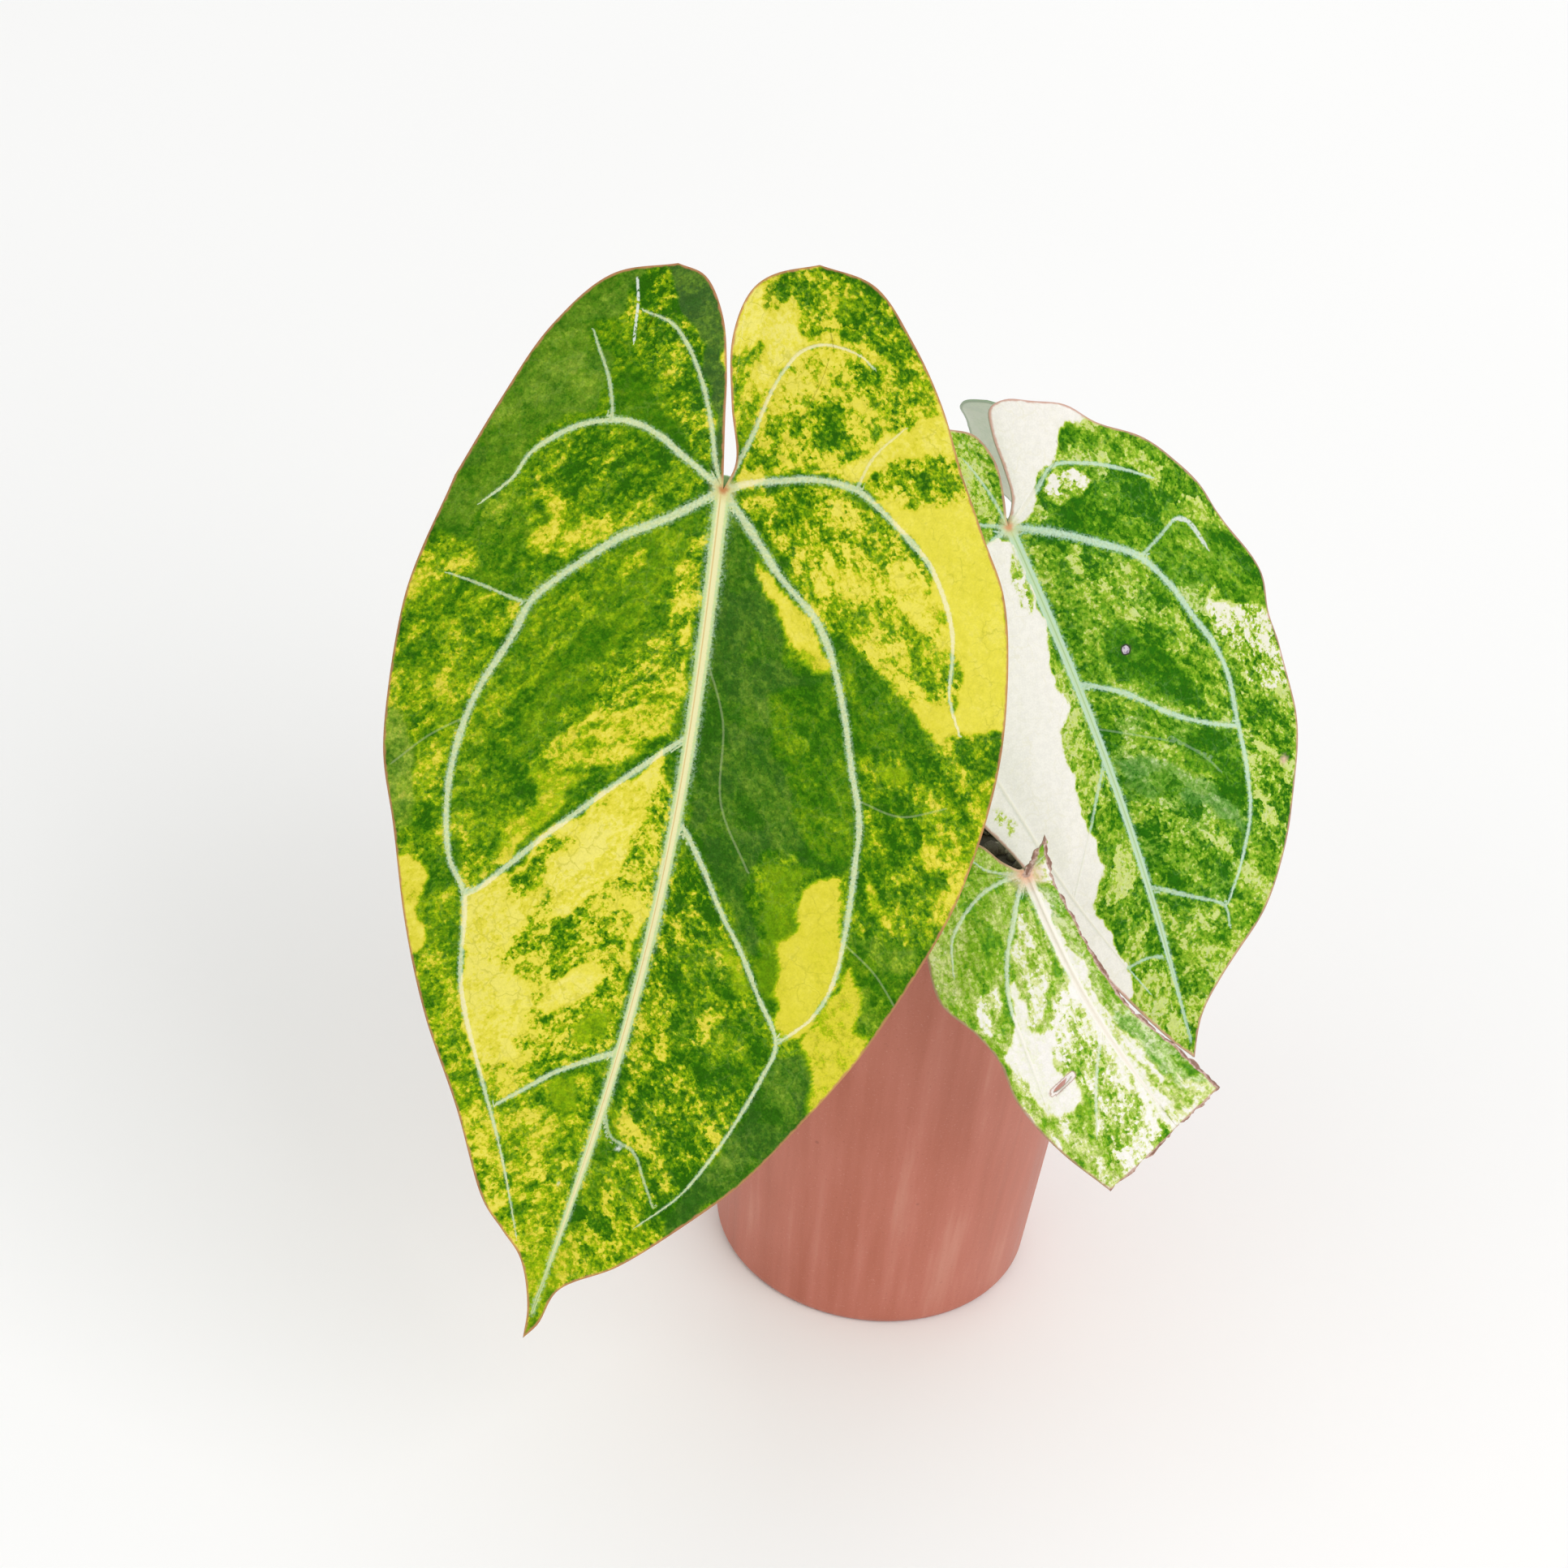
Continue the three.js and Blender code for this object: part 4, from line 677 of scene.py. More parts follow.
def zone_cover(points, corners):
    """How far a zone covers each point: 1 inside, 0 outside, with a soft border."""
    outline = smooth_line(list(corners) + [corners[0]], 4)
    low, high = outline.min(axis=0) - ZONE_SOFTNESS, outline.max(axis=0) + ZONE_SOFTNESS
    close = np.all((points > low) & (points < high), axis=1)
    cover = np.zeros(len(points))
    if close.any():
        distance = line_distance(points[close], outline)[0]
        signed = np.where(inside_outline(points[close], outline), distance, -distance)
        cover[close] = smoothstep(0.5 + signed / (2 * ZONE_SOFTNESS))
    return cover


def wander(points, wave):
    """A smooth random shift of each point, from a wave's pitch, reach and seed."""
    pitch, reach, seed = wave
    shifts = [noise.noise_vector((x / pitch, y / pitch, seed)) for x, y in points]
    return reach * np.array(shifts)[:, :2]


# Blade surfaces
def midrib_point(leaf, share):
    return np.stack([leaf["bow"] * np.sin(np.pi * share), -leaf["length"] * share], axis=-1)


def from_midrib(leaf, x, y):
    """How far along the blade a point lies, as a share, and how far to the right of the midrib's line."""
    along = np.clip(-y / leaf["length"], 0, 1)
    return along, x - midrib_point(leaf, along)[..., 0]


def blade_height(leaf, x, y):
    """Height of a blade's middle surface over its plane."""
    along, across = from_midrib(leaf, x, y)
    across = np.abs(across)
    side = across / leaf["half_width"]
    valley = leaf["rise"] * (1 - np.exp(-across / leaf["valley"]))
    tip = leaf["tip_droop"] * along**2
    lobe = leaf["lobe_droop"] * (y / leaf["lobe_height"]) ** 2
    phase = leaf["phase"] * np.sign(x)
    wave = leaf["wave"] * np.sin(2 * np.pi * y / leaf["pitch"] + phase) * np.minimum(side, 1.2) ** 2
    return valley - np.where(y < 0, tip, lobe) - leaf["side_droop"] * side**2 + wave


def half_columns(leaf, half):
    """Both ends of each column of one half of a blade: on the spine and on the margin."""
    lobe, side, cut = leaf["stations"]
    lobe_fine, side_fine = leaf["fineness"]
    lobe, side, cut = lobe * lobe_fine, side * side_fine, cut * side_fine
    lobe_line = even_line(half["lobe_line"], lobe)
    shares = np.arange(1, side + cut + 1) / (side + cut)
    spine = np.vstack([lobe_line, lobe_line[-2::-1], midrib_point(leaf, shares)])
    runs = [even_line(half["inner"], lobe), even_line(half["shoulder"], lobe)[1:],
            even_line(half["side"], side)[1:]]
    if cut:
        runs.append(even_line(half["cut"], cut)[1:])
    return spine, np.vstack(runs)


def blade_plan(leaf):
    """The blade laid flat: its points, their share of the way to the margin, and its faces."""
    shares = np.linspace(0, 1, leaf["rows"] + 1)
    points, point_shares, faces = [], [], []
    first = 0
    for half, turn in ((leaf["left"], 1), (leaf["right"], -1)):
        spine, edge = half_columns(leaf, half)
        grid = spine[:, None] * (1 - shares[:, None]) + edge[:, None] * shares[:, None]
        index = first + np.arange(grid.shape[0] * grid.shape[1]).reshape(grid.shape[:2])
        first += index.size
        corners = (index[:-1, :-1], index[:-1, 1:], index[1:, 1:], index[1:, :-1])
        quads = np.stack(corners, axis=-1).reshape(-1, 4)
        faces.append(quads[:, ::turn])
        points.append(grid.reshape(-1, 2))
        point_shares.append(np.tile(shares, grid.shape[0]))
    points, point_shares, faces = map(np.concatenate, (points, point_shares, faces))
    _, kept, weld = np.unique(np.round(points, 3), axis=0, return_index=True, return_inverse=True)
    return points[kept], point_shares[kept], weld.ravel()[faces]


def slit_axis(leaf):
    """The slit's centre, and the direction along it."""
    x, y, _, _, turn = leaf["slit"]
    return np.array([x, y]), np.array([math.cos(math.radians(turn)), math.sin(math.radians(turn))])


def cut_slit(leaf, points, faces):
    """Takes the faces inside the slit out, and draws the points round it onto its outline."""
    centre, along = slit_axis(leaf)
    half_length, half_width = leaf["slit"][2:4]
    across = np.array([-along[1], along[0]])
    offset = points - centre
    reach = np.hypot(offset @ along / half_length, offset @ across / half_width)
    gone = reach[faces].min(axis=1) < 1
    border = np.intersect1d(faces[gone], faces[~gone])
    points = points.copy()
    points[border] = centre + offset[border] / reach[border][:, None]
    return points, faces[~gone]


def torn_plan(leaf):
    """The blade laid flat, with its slit cut and its dried margin torn."""
    points, shares, faces = blade_plan(leaf)
    if "slit" in leaf:
        points, faces = cut_slit(leaf, points, faces)
    if "dried" in leaf:
        near = np.exp(-((dried_distance(leaf, points) / TEAR_REACH) ** 2))[:, None]
        points = points + near * (wander(points, TEAR_WAVES[0]) + wander(points, TEAR_WAVES[1]))
    return points, shares, faces


def outer_edges(faces):
    """Directed edges that only one face has."""
    pairs = np.concatenate([np.stack([faces[:, i], faces[:, (i + 1) % 4]], axis=1) for i in range(4)])
    pairs = pairs[pairs[:, 0] != pairs[:, 1]]
    size = int(faces.max()) + 1
    code = pairs[:, 0] * size + pairs[:, 1]
    back = pairs[:, 1] * size + pairs[:, 0]
    return pairs[~np.isin(code, back)]


def two_sided(points, faces, top, bottom):
    """Points and faces of a closed sheet between two heights."""
    count = len(points)
    around = outer_edges(faces)
    walls = np.stack([around[:, 0], around[:, 0] + count, around[:, 1] + count, around[:, 1]], axis=1)
    quads = np.concatenate([faces, faces[:, ::-1] + count, walls])
    polygons = [list(dict.fromkeys(quad)) for quad in quads.tolist()]
    polygons = [polygon for polygon in polygons if len(polygon) > 2]
    return np.concatenate([np.column_stack([points, top]), np.column_stack([points, bottom])]), polygons


# Marks on the blades
def slit_distance(leaf, points):
    """Distance from the line along the middle of the leaf's slit."""
    if "slit" not in leaf:
        return np.full(len(points), FAR)
    centre, along = slit_axis(leaf)
    reach = leaf["slit"][2] * along
    return line_distance(points, centre + np.array([-reach, reach]))[0]


def dried_distance(leaf, points):
    """Distance from the dried runs of the margin, in widths of their brown."""
    best = np.full(len(points), FAR)
    for side, run, reach in leaf.get("dried", []):
        distance = line_distance(points, smooth_line(leaf[side][run], 6))[0]
        best = np.minimum(best, distance / reach)
    return best


def thin_distance(points, lines):
    """Distance to the nearest of some thin lines in half widths, negative on one side of it."""
    signed = np.full(len(points), FAR)
    for half_width, line in lines:
        distance, _, side = line_distance(points, smooth_line(line, 6))
        ratio = distance / half_width
        first = ratio < np.abs(signed)
        signed[first] = (ratio * side)[first]
    return signed


def margin_distance(leaf, points):
    """Distance from the blade's outline."""
    best = np.full(len(points), np.inf)
    for half in (leaf["left"], leaf["right"]):
        for run in ("inner", "shoulder", "side", "cut"):
            if run in half:
                best = np.minimum(best, line_distance(points, smooth_line(half[run], 5))[0])
    return best


def bell(ratio, spread):
    """1 on the middle of a vein, falling smoothly to 0 at its spread."""
    return (1 - np.clip(ratio / spread, 0, 1) ** 2) ** 2


def vein_shape(leaf, points):
    """Each point's place among the veins, by name, and the veins' relief above and below."""
    reach = CUT_MIDRIB_REACH if leaf["stations"][2] else MIDRIB_REACH
    midrib = midrib_point(leaf, np.linspace(0, reach, MIDRIB_STEPS))
    rib = leaf["rib"]
    lines = [(rib, MIDRIB_TAPER * rib, midrib, *MIDRIB_RELIEF)]
    for root, end, line in leaf["veins"]:
        if root > HAIR_VEIN:
            lines.append((root, end, smooth_line(line, 6), *VEIN_RELIEF))
    vein = np.full(len(points), FAR)
    flank = np.full(len(points), FAR)
    strength = np.ones(len(points))
    near = np.full(len(points), np.inf)
    above = np.zeros(len(points))
    below = np.zeros(len(points))
    middle = None
    for root, end, line, deep, high in lines:
        distance, share, side = line_distance(points, line)
        width = root + (end - root) * share
        fading = FADE_DEPTH * max(0, 1 - end / root) * smoothstep((share - FADE_FROM) / (1 - FADE_FROM))
        ratio = distance / width + fading
        if middle is None:
            middle = np.clip(ratio, 0, FAR) * side
        first = ratio < vein
        vein[first] = ratio[first]
        flank[first] = (ratio * side)[first]
        strength[first] = min(1, STRENGTH_PER_WIDTH * root)
        near = np.minimum(near, distance)
        above = np.maximum(above, high * width**0.9 * bell(ratio, ABOVE_SPREAD))
        below = np.maximum(below, deep * width * bell(ratio, BELOW_SPREAD))
    marks = {"vein": vein, "flank": flank, "strength": strength, "near": near, "middle": middle}
    return marks, above, below


def paint_zones(leaf, points):
    """Tone, mottling and bluishness of each point."""
    ground, zones = MARKINGS[leaf["name"]]
    paint = np.tile(np.array(ground, float), (len(points), 1))
    ragged = points + wander(points, ZONE_WAVES[0]) + wander(points, ZONE_WAVES[1])
    for _, tone, mottle, cool, corners in zones:
        cover = zone_cover(ragged, corners)[:, None]
        paint += (np.array([tone, mottle, cool]) - paint) * cover
    return dict(zip(("tone", "mottle", "cool"), paint.T))


def speck_cover(leaf, points, kind):
    """Specks of one kind: 1 on them, 0 elsewhere."""
    cover = np.zeros(len(points))
    for x, y, radius, speck_kind in leaf["specks"]:
        if speck_kind == kind:
            distance = np.linalg.norm(points - np.array([x, y]), axis=1)
            cover = np.maximum(cover, np.clip(1.4 - distance / radius, 0, 1))
    return cover


def streak_place(leaf, points):
    """Places drawn out along the blade's grain, the two halves far apart."""
    x, y = points.T
    side = np.sign(from_midrib(leaf, x, y)[1])
    angle, stretch = math.radians(leaf["grain"][0]), leaf["grain"][1]
    along = (math.sin(angle) * np.abs(x) - math.cos(angle) * y) / stretch
    across = math.cos(angle) * np.abs(x) + math.sin(angle) * y
    return np.column_stack([along + HALVES_APART * side, across, 0 * x])


def blade_marks(leaf, points):
    """All that the blade's material reads at each point, apart from the veins and the margin."""
    marks = {
        "plane": np.column_stack([points, 0 * points[:, 0]]), "streak": streak_place(leaf, points),
        "dried": dried_distance(leaf, points), "slit": slit_distance(leaf, points),
        **paint_zones(leaf, points),
    }
    for kind in ("silver", "purple", "tan"):
        marks[kind] = speck_cover(leaf, points, kind)
    hairs = [(root, line) for root, _, line in leaf["veins"] if root < HAIR_VEIN]
    for kind, lines in (("hair", hairs), ("scratch", leaf["scratches"])):
        marks[kind] = thin_distance(points, lines)
        marks[kind + "_near"] = np.abs(marks[kind])
    return marks


# Meshes
def new_object(name, data):
    item = bpy.data.objects.new(name, data)
    bpy.context.scene.collection.objects.link(item)
    return item


def make_piece(name, points, faces, material, replaced):
    """A smooth-shaded piece from points in millimetres, standing for the named nodes."""
    mesh = bpy.data.meshes.new(name)
    mesh.from_pydata((np.asarray(points, float) * MM).tolist(), [], faces)
    mesh.validate()
    mesh.polygons.foreach_set("use_smooth", [True] * len(mesh.polygons))
    mesh.materials.append(material)
    piece = new_object(name, mesh)
    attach(piece, "root")
    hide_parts(*replaced)
    return piece


def set_attribute(piece, name, values):
    values = np.asarray(values, np.float32)
    kind, field = ("FLOAT_VECTOR", "vector") if values.ndim == 2 else ("FLOAT", "value")
    attribute = piece.data.attributes.new(name, kind, "POINT")
    attribute.data.foreach_set(field, values.ravel())


def joined(shapes):
    """Points and faces of several shapes as one."""
    faces = []
    first = 0
    for shape_points, shape_faces in shapes:
        faces += [[first + corner for corner in face] for face in shape_faces]
        first += len(shape_points)
    return np.concatenate([shape_points for shape_points, _ in shapes]), faces


def ring_angles(sides):
    return 2 * np.pi * np.arange(sides) / sides


def ridge(sides, height, width):
    """A ridge along the inner side of a ring."""
    return height * np.exp(-(((ring_angles(sides) - np.pi) / width) ** 2))


def tube(centres, radii, sides):
    """Points and faces of a closed tube along a line of centres."""
    centres = np.asarray(centres, float)
    along = np.gradient(centres, axis=0)
    along /= np.linalg.norm(along, axis=1)[:, None]
    side = np.cross(along[0], [0.0, 1.0, 0.3])
    angles = ring_angles(sides)
    points = []
    for centre, ahead, radius in zip(centres, along, radii):
        side = side - ahead * (side @ ahead)
        side /= np.linalg.norm(side)
        other = np.cross(ahead, side)
        reach = np.broadcast_to(radius, (sides,))[:, None]
        points.append(centre + reach * (np.cos(angles)[:, None] * side + np.sin(angles)[:, None] * other))
    faces = []
    for ring in range(len(centres) - 1):
        for s in range(sides):
            a, b = ring * sides + s, ring * sides + (s + 1) % sides
            faces.append([a, b, b + sides, a + sides])
    last = (len(centres) - 1) * sides
    faces.append(list(range(sides))[::-1])
    faces.append([last + s for s in range(sides)])
    return np.concatenate(points), faces


def lathe(profile, sides):
    """Points and faces of a profile of radius and height turned about Z. Its ends lie on the axis."""
    profile = np.asarray(profile, float)
    angles = ring_angles(sides)
    rings = [np.array([[0, 0, profile[0, 1]]])]
    for radius, height in profile[1:-1]:
        level = np.full(sides, height)
        rings.append(np.column_stack([radius * np.cos(angles), radius * np.sin(angles), level]))
    rings.append(np.array([[0, 0, profile[-1, 1]]]))
    count = len(profile) - 2
    faces = []
    for s in range(sides):
        t = (s + 1) % sides
        faces.append([0, 1 + t, 1 + s])
        for ring in range(count - 1):
            a, b = 1 + ring * sides + s, 1 + ring * sides + t
            faces.append([a, b, b + sides, a + sides])
        last = 1 + (count - 1) * sides
        faces.append([last + s, last + t, 1 + count * sides])
    return np.concatenate(rings), faces


def rounded(profile, radius, steps=5):
    """The profile with each inner corner turned into a small curve."""
    profile = [np.array(point, float) for point in profile]
    points = [profile[0]]
    for before, corner, after in zip(profile, profile[1:], profile[2:]):
        back, ahead = before - corner, after - corner
        reach = min(radius, 0.45 * np.linalg.norm(back), 0.45 * np.linalg.norm(ahead))
        start = corner + back / np.linalg.norm(back) * reach
        end = corner + ahead / np.linalg.norm(ahead) * reach
        for t in np.linspace(0, 1, steps):
            points.append((1 - t) ** 2 * start + 2 * t * (1 - t) * corner + t * t * end)
    points.append(profile[-1])
    return points


# Materials
def linear(code):
    """A colour written as #RRGGBB, as the shader wants it."""
    parts = [int(code[i:i + 2], 16) / 255 for i in (1, 3, 5)]
    parts = [p / 12.92 if p <= 0.04045 else ((p + 0.055) / 1.055) ** 2.4 for p in parts]
    return (*parts, 1.0)


class Value:
    """A number that a shader works out. Sums and products of values become its Math nodes."""

    def __init__(self, shading, socket):
        self.shading = shading
        self.socket = socket

    def __add__(self, other):
        return self.shading.maths("ADD", self, other)

    def __sub__(self, other):
        return self.shading.maths("SUBTRACT", self, other)

    def __mul__(self, other):
        return self.shading.maths("MULTIPLY", self, other)

    def __abs__(self):
        return self.shading.maths("ABSOLUTE", self, 0.0)


class Shading:
    """Builds one material's nodes, with short names for the ones used here. Sizes are millimetres."""

    def __init__(self, name, roughness, specular, dimensions="3D"):
        self.material = bpy.data.materials.new(name)
        self.material.use_nodes = True
        self.tree = self.material.node_tree
        self.shader = self.tree.nodes["Principled BSDF"]
        self.shader.inputs["Roughness"].default_value = roughness
        self.shader.inputs["Specular IOR Level"].default_value = specular
        self.dimensions = dimensions

    def put(self, value, socket):
        """A colour, a number or a vector set on a socket, or another socket linked to it."""
        if isinstance(value, str):
            value = linear(value)
        if isinstance(value, Value):
            value = value.socket
        if isinstance(value, bpy.types.NodeSocket):
            self.tree.links.new(value, socket)
        else:
            socket.default_value = value

    def add(self, kind, values, **settings):
        """A new node's outputs."""
        node = self.tree.nodes.new(kind)
        for key, value in settings.items():
            setattr(node, key, value)
        for key, value in values.items():
            self.put(value, node.inputs[key])
        return node.outputs

    def maths(self, operation, a, b):
        return Value(self, self.add("ShaderNodeMath", {0: a, 1: b}, operation=operation)[0])

    def vector(self, operation, a, b):
        """Two vectors joined, or the first one scaled by a number."""
        second = 3 if operation == "SCALE" else 1
        return self.add("ShaderNodeVectorMath", {0: a, second: b}, operation=operation)[0]

    def length(self, place):
        return Value(self, self.add("ShaderNodeVectorMath", {0: place}, operation="LENGTH")["Value"])

    def attribute(self, name):
        return Value(self, self.add("ShaderNodeAttribute", {}, attribute_name=name)["Fac"])

    def mesh_place(self, name):
        """A place kept with the mesh."""
        return self.add("ShaderNodeAttribute", {}, attribute_name=name)["Vector"]

    def place(self, upright=1000):
        """The place on the object in millimetres, its height squeezed where upright is less."""
        where = self.add("ShaderNodeTexCoord", {})["Object"]
        return self.vector("MULTIPLY", where, (1000, 1000, upright))

    def swayed(self, where, plane, scale, detail, reach):
        """A place moved about by a noise."""
        shift = self.add("ShaderNodeTexNoise", {"Vector": plane, "Scale": scale, "Detail": detail})["Color"]
        return self.vector("ADD", where, self.vector("SCALE", shift, reach))

    def noise(self, where, size, detail=2.0, roughness=0.5):
        values = {"Vector": where, "Scale": 1 / size, "Detail": detail, "Roughness": roughness}
        return Value(self, self.add("ShaderNodeTexNoise", values, noise_dimensions=self.dimensions)[0])

    def cells(self, where, size, feature="F1"):
        values = {"Vector": where, "Scale": 1 / size}
        return self.add("ShaderNodeTexVoronoi", values, voronoi_dimensions=self.dimensions, feature=feature)

    def parts(self, colour):
        """A colour's red, green and blue."""
        return [Value(self, part) for part in self.add("ShaderNodeSeparateColor", {0: colour})]

    def mix(self, share, a, b, blend="MIX"):
        return self.add("ShaderNodeMix", {0: share, 6: a, 7: b}, data_type="RGBA", blend_type=blend)[2]

    def blend(self, share, a, b):
        """A number between a and b."""
        return Value(self, self.add("ShaderNodeMix", {0: share, 2: a, 3: b}, data_type="FLOAT")[0])

    def fade(self, value, low, high, to_low=0.0, to_high=1.0):
        """A smooth step from one number to the other, as the value goes from low to high."""
        values = {0: value, 1: low, 2: high, 3: to_low, 4: to_high}
        return Value(self, self.add("ShaderNodeMapRange", values, interpolation_type="SMOOTHSTEP")[0])

    def ramp(self, value, stops):
        """A colour from stops of place and colour."""
        node = self.tree.nodes.new("ShaderNodeValToRGB")
        elements = node.color_ramp.elements
        while len(elements) < len(stops):
            elements.new(0.5)
        for element, (place, colour) in zip(elements, stops):
            element.position = place
            element.color = linear(colour)
        self.put(value, node.inputs[0])
        return node.outputs[0]

    def finish(self, colour, roughness=None, height=None, relief=0.0, strength=0.0):
        """The finished material. Its relief is in metres."""
        self.put(colour, self.shader.inputs["Base Color"])
        if roughness is not None:
            self.put(roughness, self.shader.inputs["Roughness"])
        if height is not None:
            bump = self.add("ShaderNodeBump", {"Height": height, "Distance": relief, "Strength": strength})
            self.put(bump[0], self.shader.inputs["Normal"])
        return self.material


# Each leaf's colours. The silvery vein colour and the bluish cool ramp are partly a painted sheen of the
# leaf's surface.
LEAF_LOOKS = {
    "large_leaf": {
        "warm": [(0.0, "#2A6002"), (0.08, "#356C02"), (0.16, "#447804"), (0.2, "#507E06"),
                 (0.27, "#5A8604"), (0.33, "#669006"), (0.37, "#789C06"), (0.45, "#84A606"),
                 (0.49, "#98B20A"), (0.57, "#A8B812"), (0.62, "#C8C42C"), (0.7, "#D7CE3A"),
                 (0.84, "#E3D94E"), (0.93, "#EAE070"), (1.0, "#F0E79A")],
        "cool": [(0.0, "#3C5E28"), (0.12, "#4A6C24"), (0.25, "#5E8228"), (0.45, "#84A038"), (0.6, "#A4B446"),
                 (0.75, "#CFC856"), (1.0, "#E8E0A0")],
        "vein": "#DCE4B0", "vein_pale": "#EFE8B8", "fringe": "#C8DA94", "core": "#ECE5B0", "line": "#CFA458",
        "line_at": -0.2, "line_half": 0.1, "net_light": "#B8B432", "net_dark": "#86A44C",
        "margin": "#C08460", "heart": "#B9713F", "hub": "#D6CB8A", "under": "#C9DAB6", "silver": "#B6D2B0",
        "palest_fleck": 0.8, "palest_mottle": 0.86,
        "heart_reach": 1.4, "cloud_share": 1.8, "blot_share": 0.45, "grain_share": 0.9,
    },
    "half_moon_leaf": {
        "warm": [(0.0, "#286804"), (0.08, "#3A7406"), (0.16, "#4A8408"), (0.21, "#58900E"), (0.29, "#649816"),
                 (0.33, "#74A41C"), (0.41, "#82AC24"), (0.46, "#92B62C"), (0.54, "#A2C03C"), (0.6, "#BFD158"),
                 (0.7, "#D0DA8C"), (0.8, "#E6E6CC"), (0.9, "#F0ECE0"), (1.0, "#F4F0E8")],
        "cool": [(0.0, "#36742A"), (0.2, "#528A3A"), (0.35, "#6A9A48"), (0.5, "#8CB268"), (0.7, "#C4D8A8"),
                 (0.85, "#E4EAD4"), (1.0, "#FAF6EC")],
        "vein": "#CFE4C4", "vein_pale": "#F6F1E2", "fringe": "#C6E0C4", "core": "#C6DEB4", "line": "#9CBC74",
        "line_at": 0.1, "line_half": 0.14, "net_light": "#ECE7D4", "net_dark": "#8DB96A",
        "margin": "#CC9A88", "heart": "#DB9468", "hub": "#D4D8A0", "under": "#D6E4CC", "silver": "#BEE0CC",
        "palest_fleck": 0.66, "palest_mottle": 0.95,
        "heart_reach": 1.4, "cloud_share": 1.2, "blot_share": 0.8, "grain_share": 1.3,
    },
    "trimmed_leaf": {
        "warm": [(0.0, "#367A0E"), (0.15, "#508C18"), (0.24, "#649C1C"), (0.3, "#76A620"), (0.4, "#8AB228"),
                 (0.46, "#A0BE4C"), (0.56, "#B2C862"), (0.62, "#CAD680"), (0.7, "#DAE098"), (0.8, "#ECECD4"),
                 (1.0, "#F6F2EC")],
        "cool": [(0.0, "#5C9648"), (0.2, "#76AC62"), (0.4, "#98C286"), (0.6, "#BED7AC"), (0.8, "#E9EFE0"),
                 (1.0, "#FBF7F0")],
        "vein": "#DCE9C4", "vein_pale": "#FAF5EA", "fringe": "#EEF0DE", "core": "#F8F1E2", "line": "#F4E9D8",
        "line_at": 0.0, "line_half": 0.12, "net_light": "#F0ECDE", "net_dark": "#A0C67E",
        "margin": "#B98E78", "heart": "#EDA882", "hub": "#F0D0B0", "under": "#D6E4CC", "silver": "#D2E6CC",
        "palest_fleck": 0.68, "palest_mottle": 1.0,
        "heart_reach": 2.2, "cloud_share": 1.5, "blot_share": 0.6, "grain_share": 1.0,
    },
    "back_leaf": {
        "warm": [(0.0, "#2E6E14"), (0.2, "#43881A"), (0.34, "#66A02E"), (0.5, "#9CB945"), (0.7, "#DDE0A8"),
                 (1.0, "#F6F3E0")],
        "cool": [(0.0, "#3C7846"), (0.3, "#68A062"), (0.6, "#A9C89C"), (1.0, "#F2F4E6")],
        "vein": "#D3E6BC", "vein_pale": "#F0EFD8", "fringe": "#CFE2B0", "core": "#E2E6BC", "line": "#B4BE84",
        "line_at": 0.0, "line_half": 0.15, "net_light": "#DCDCB0", "net_dark": "#8FB676",
        # Its near-white underside colour is partly painted light shining through the thin blade.
        "margin": "#7C9470", "heart": "#C98A62", "hub": "#D8D6A4", "under": "#EAF3E6", "silver": "#CBE3CC",
        "palest_fleck": 0.8, "palest_mottle": 0.86,
        "heart_reach": 1.4, "cloud_share": 1.5, "blot_share": 0.7, "grain_share": 0.9,
    },
}


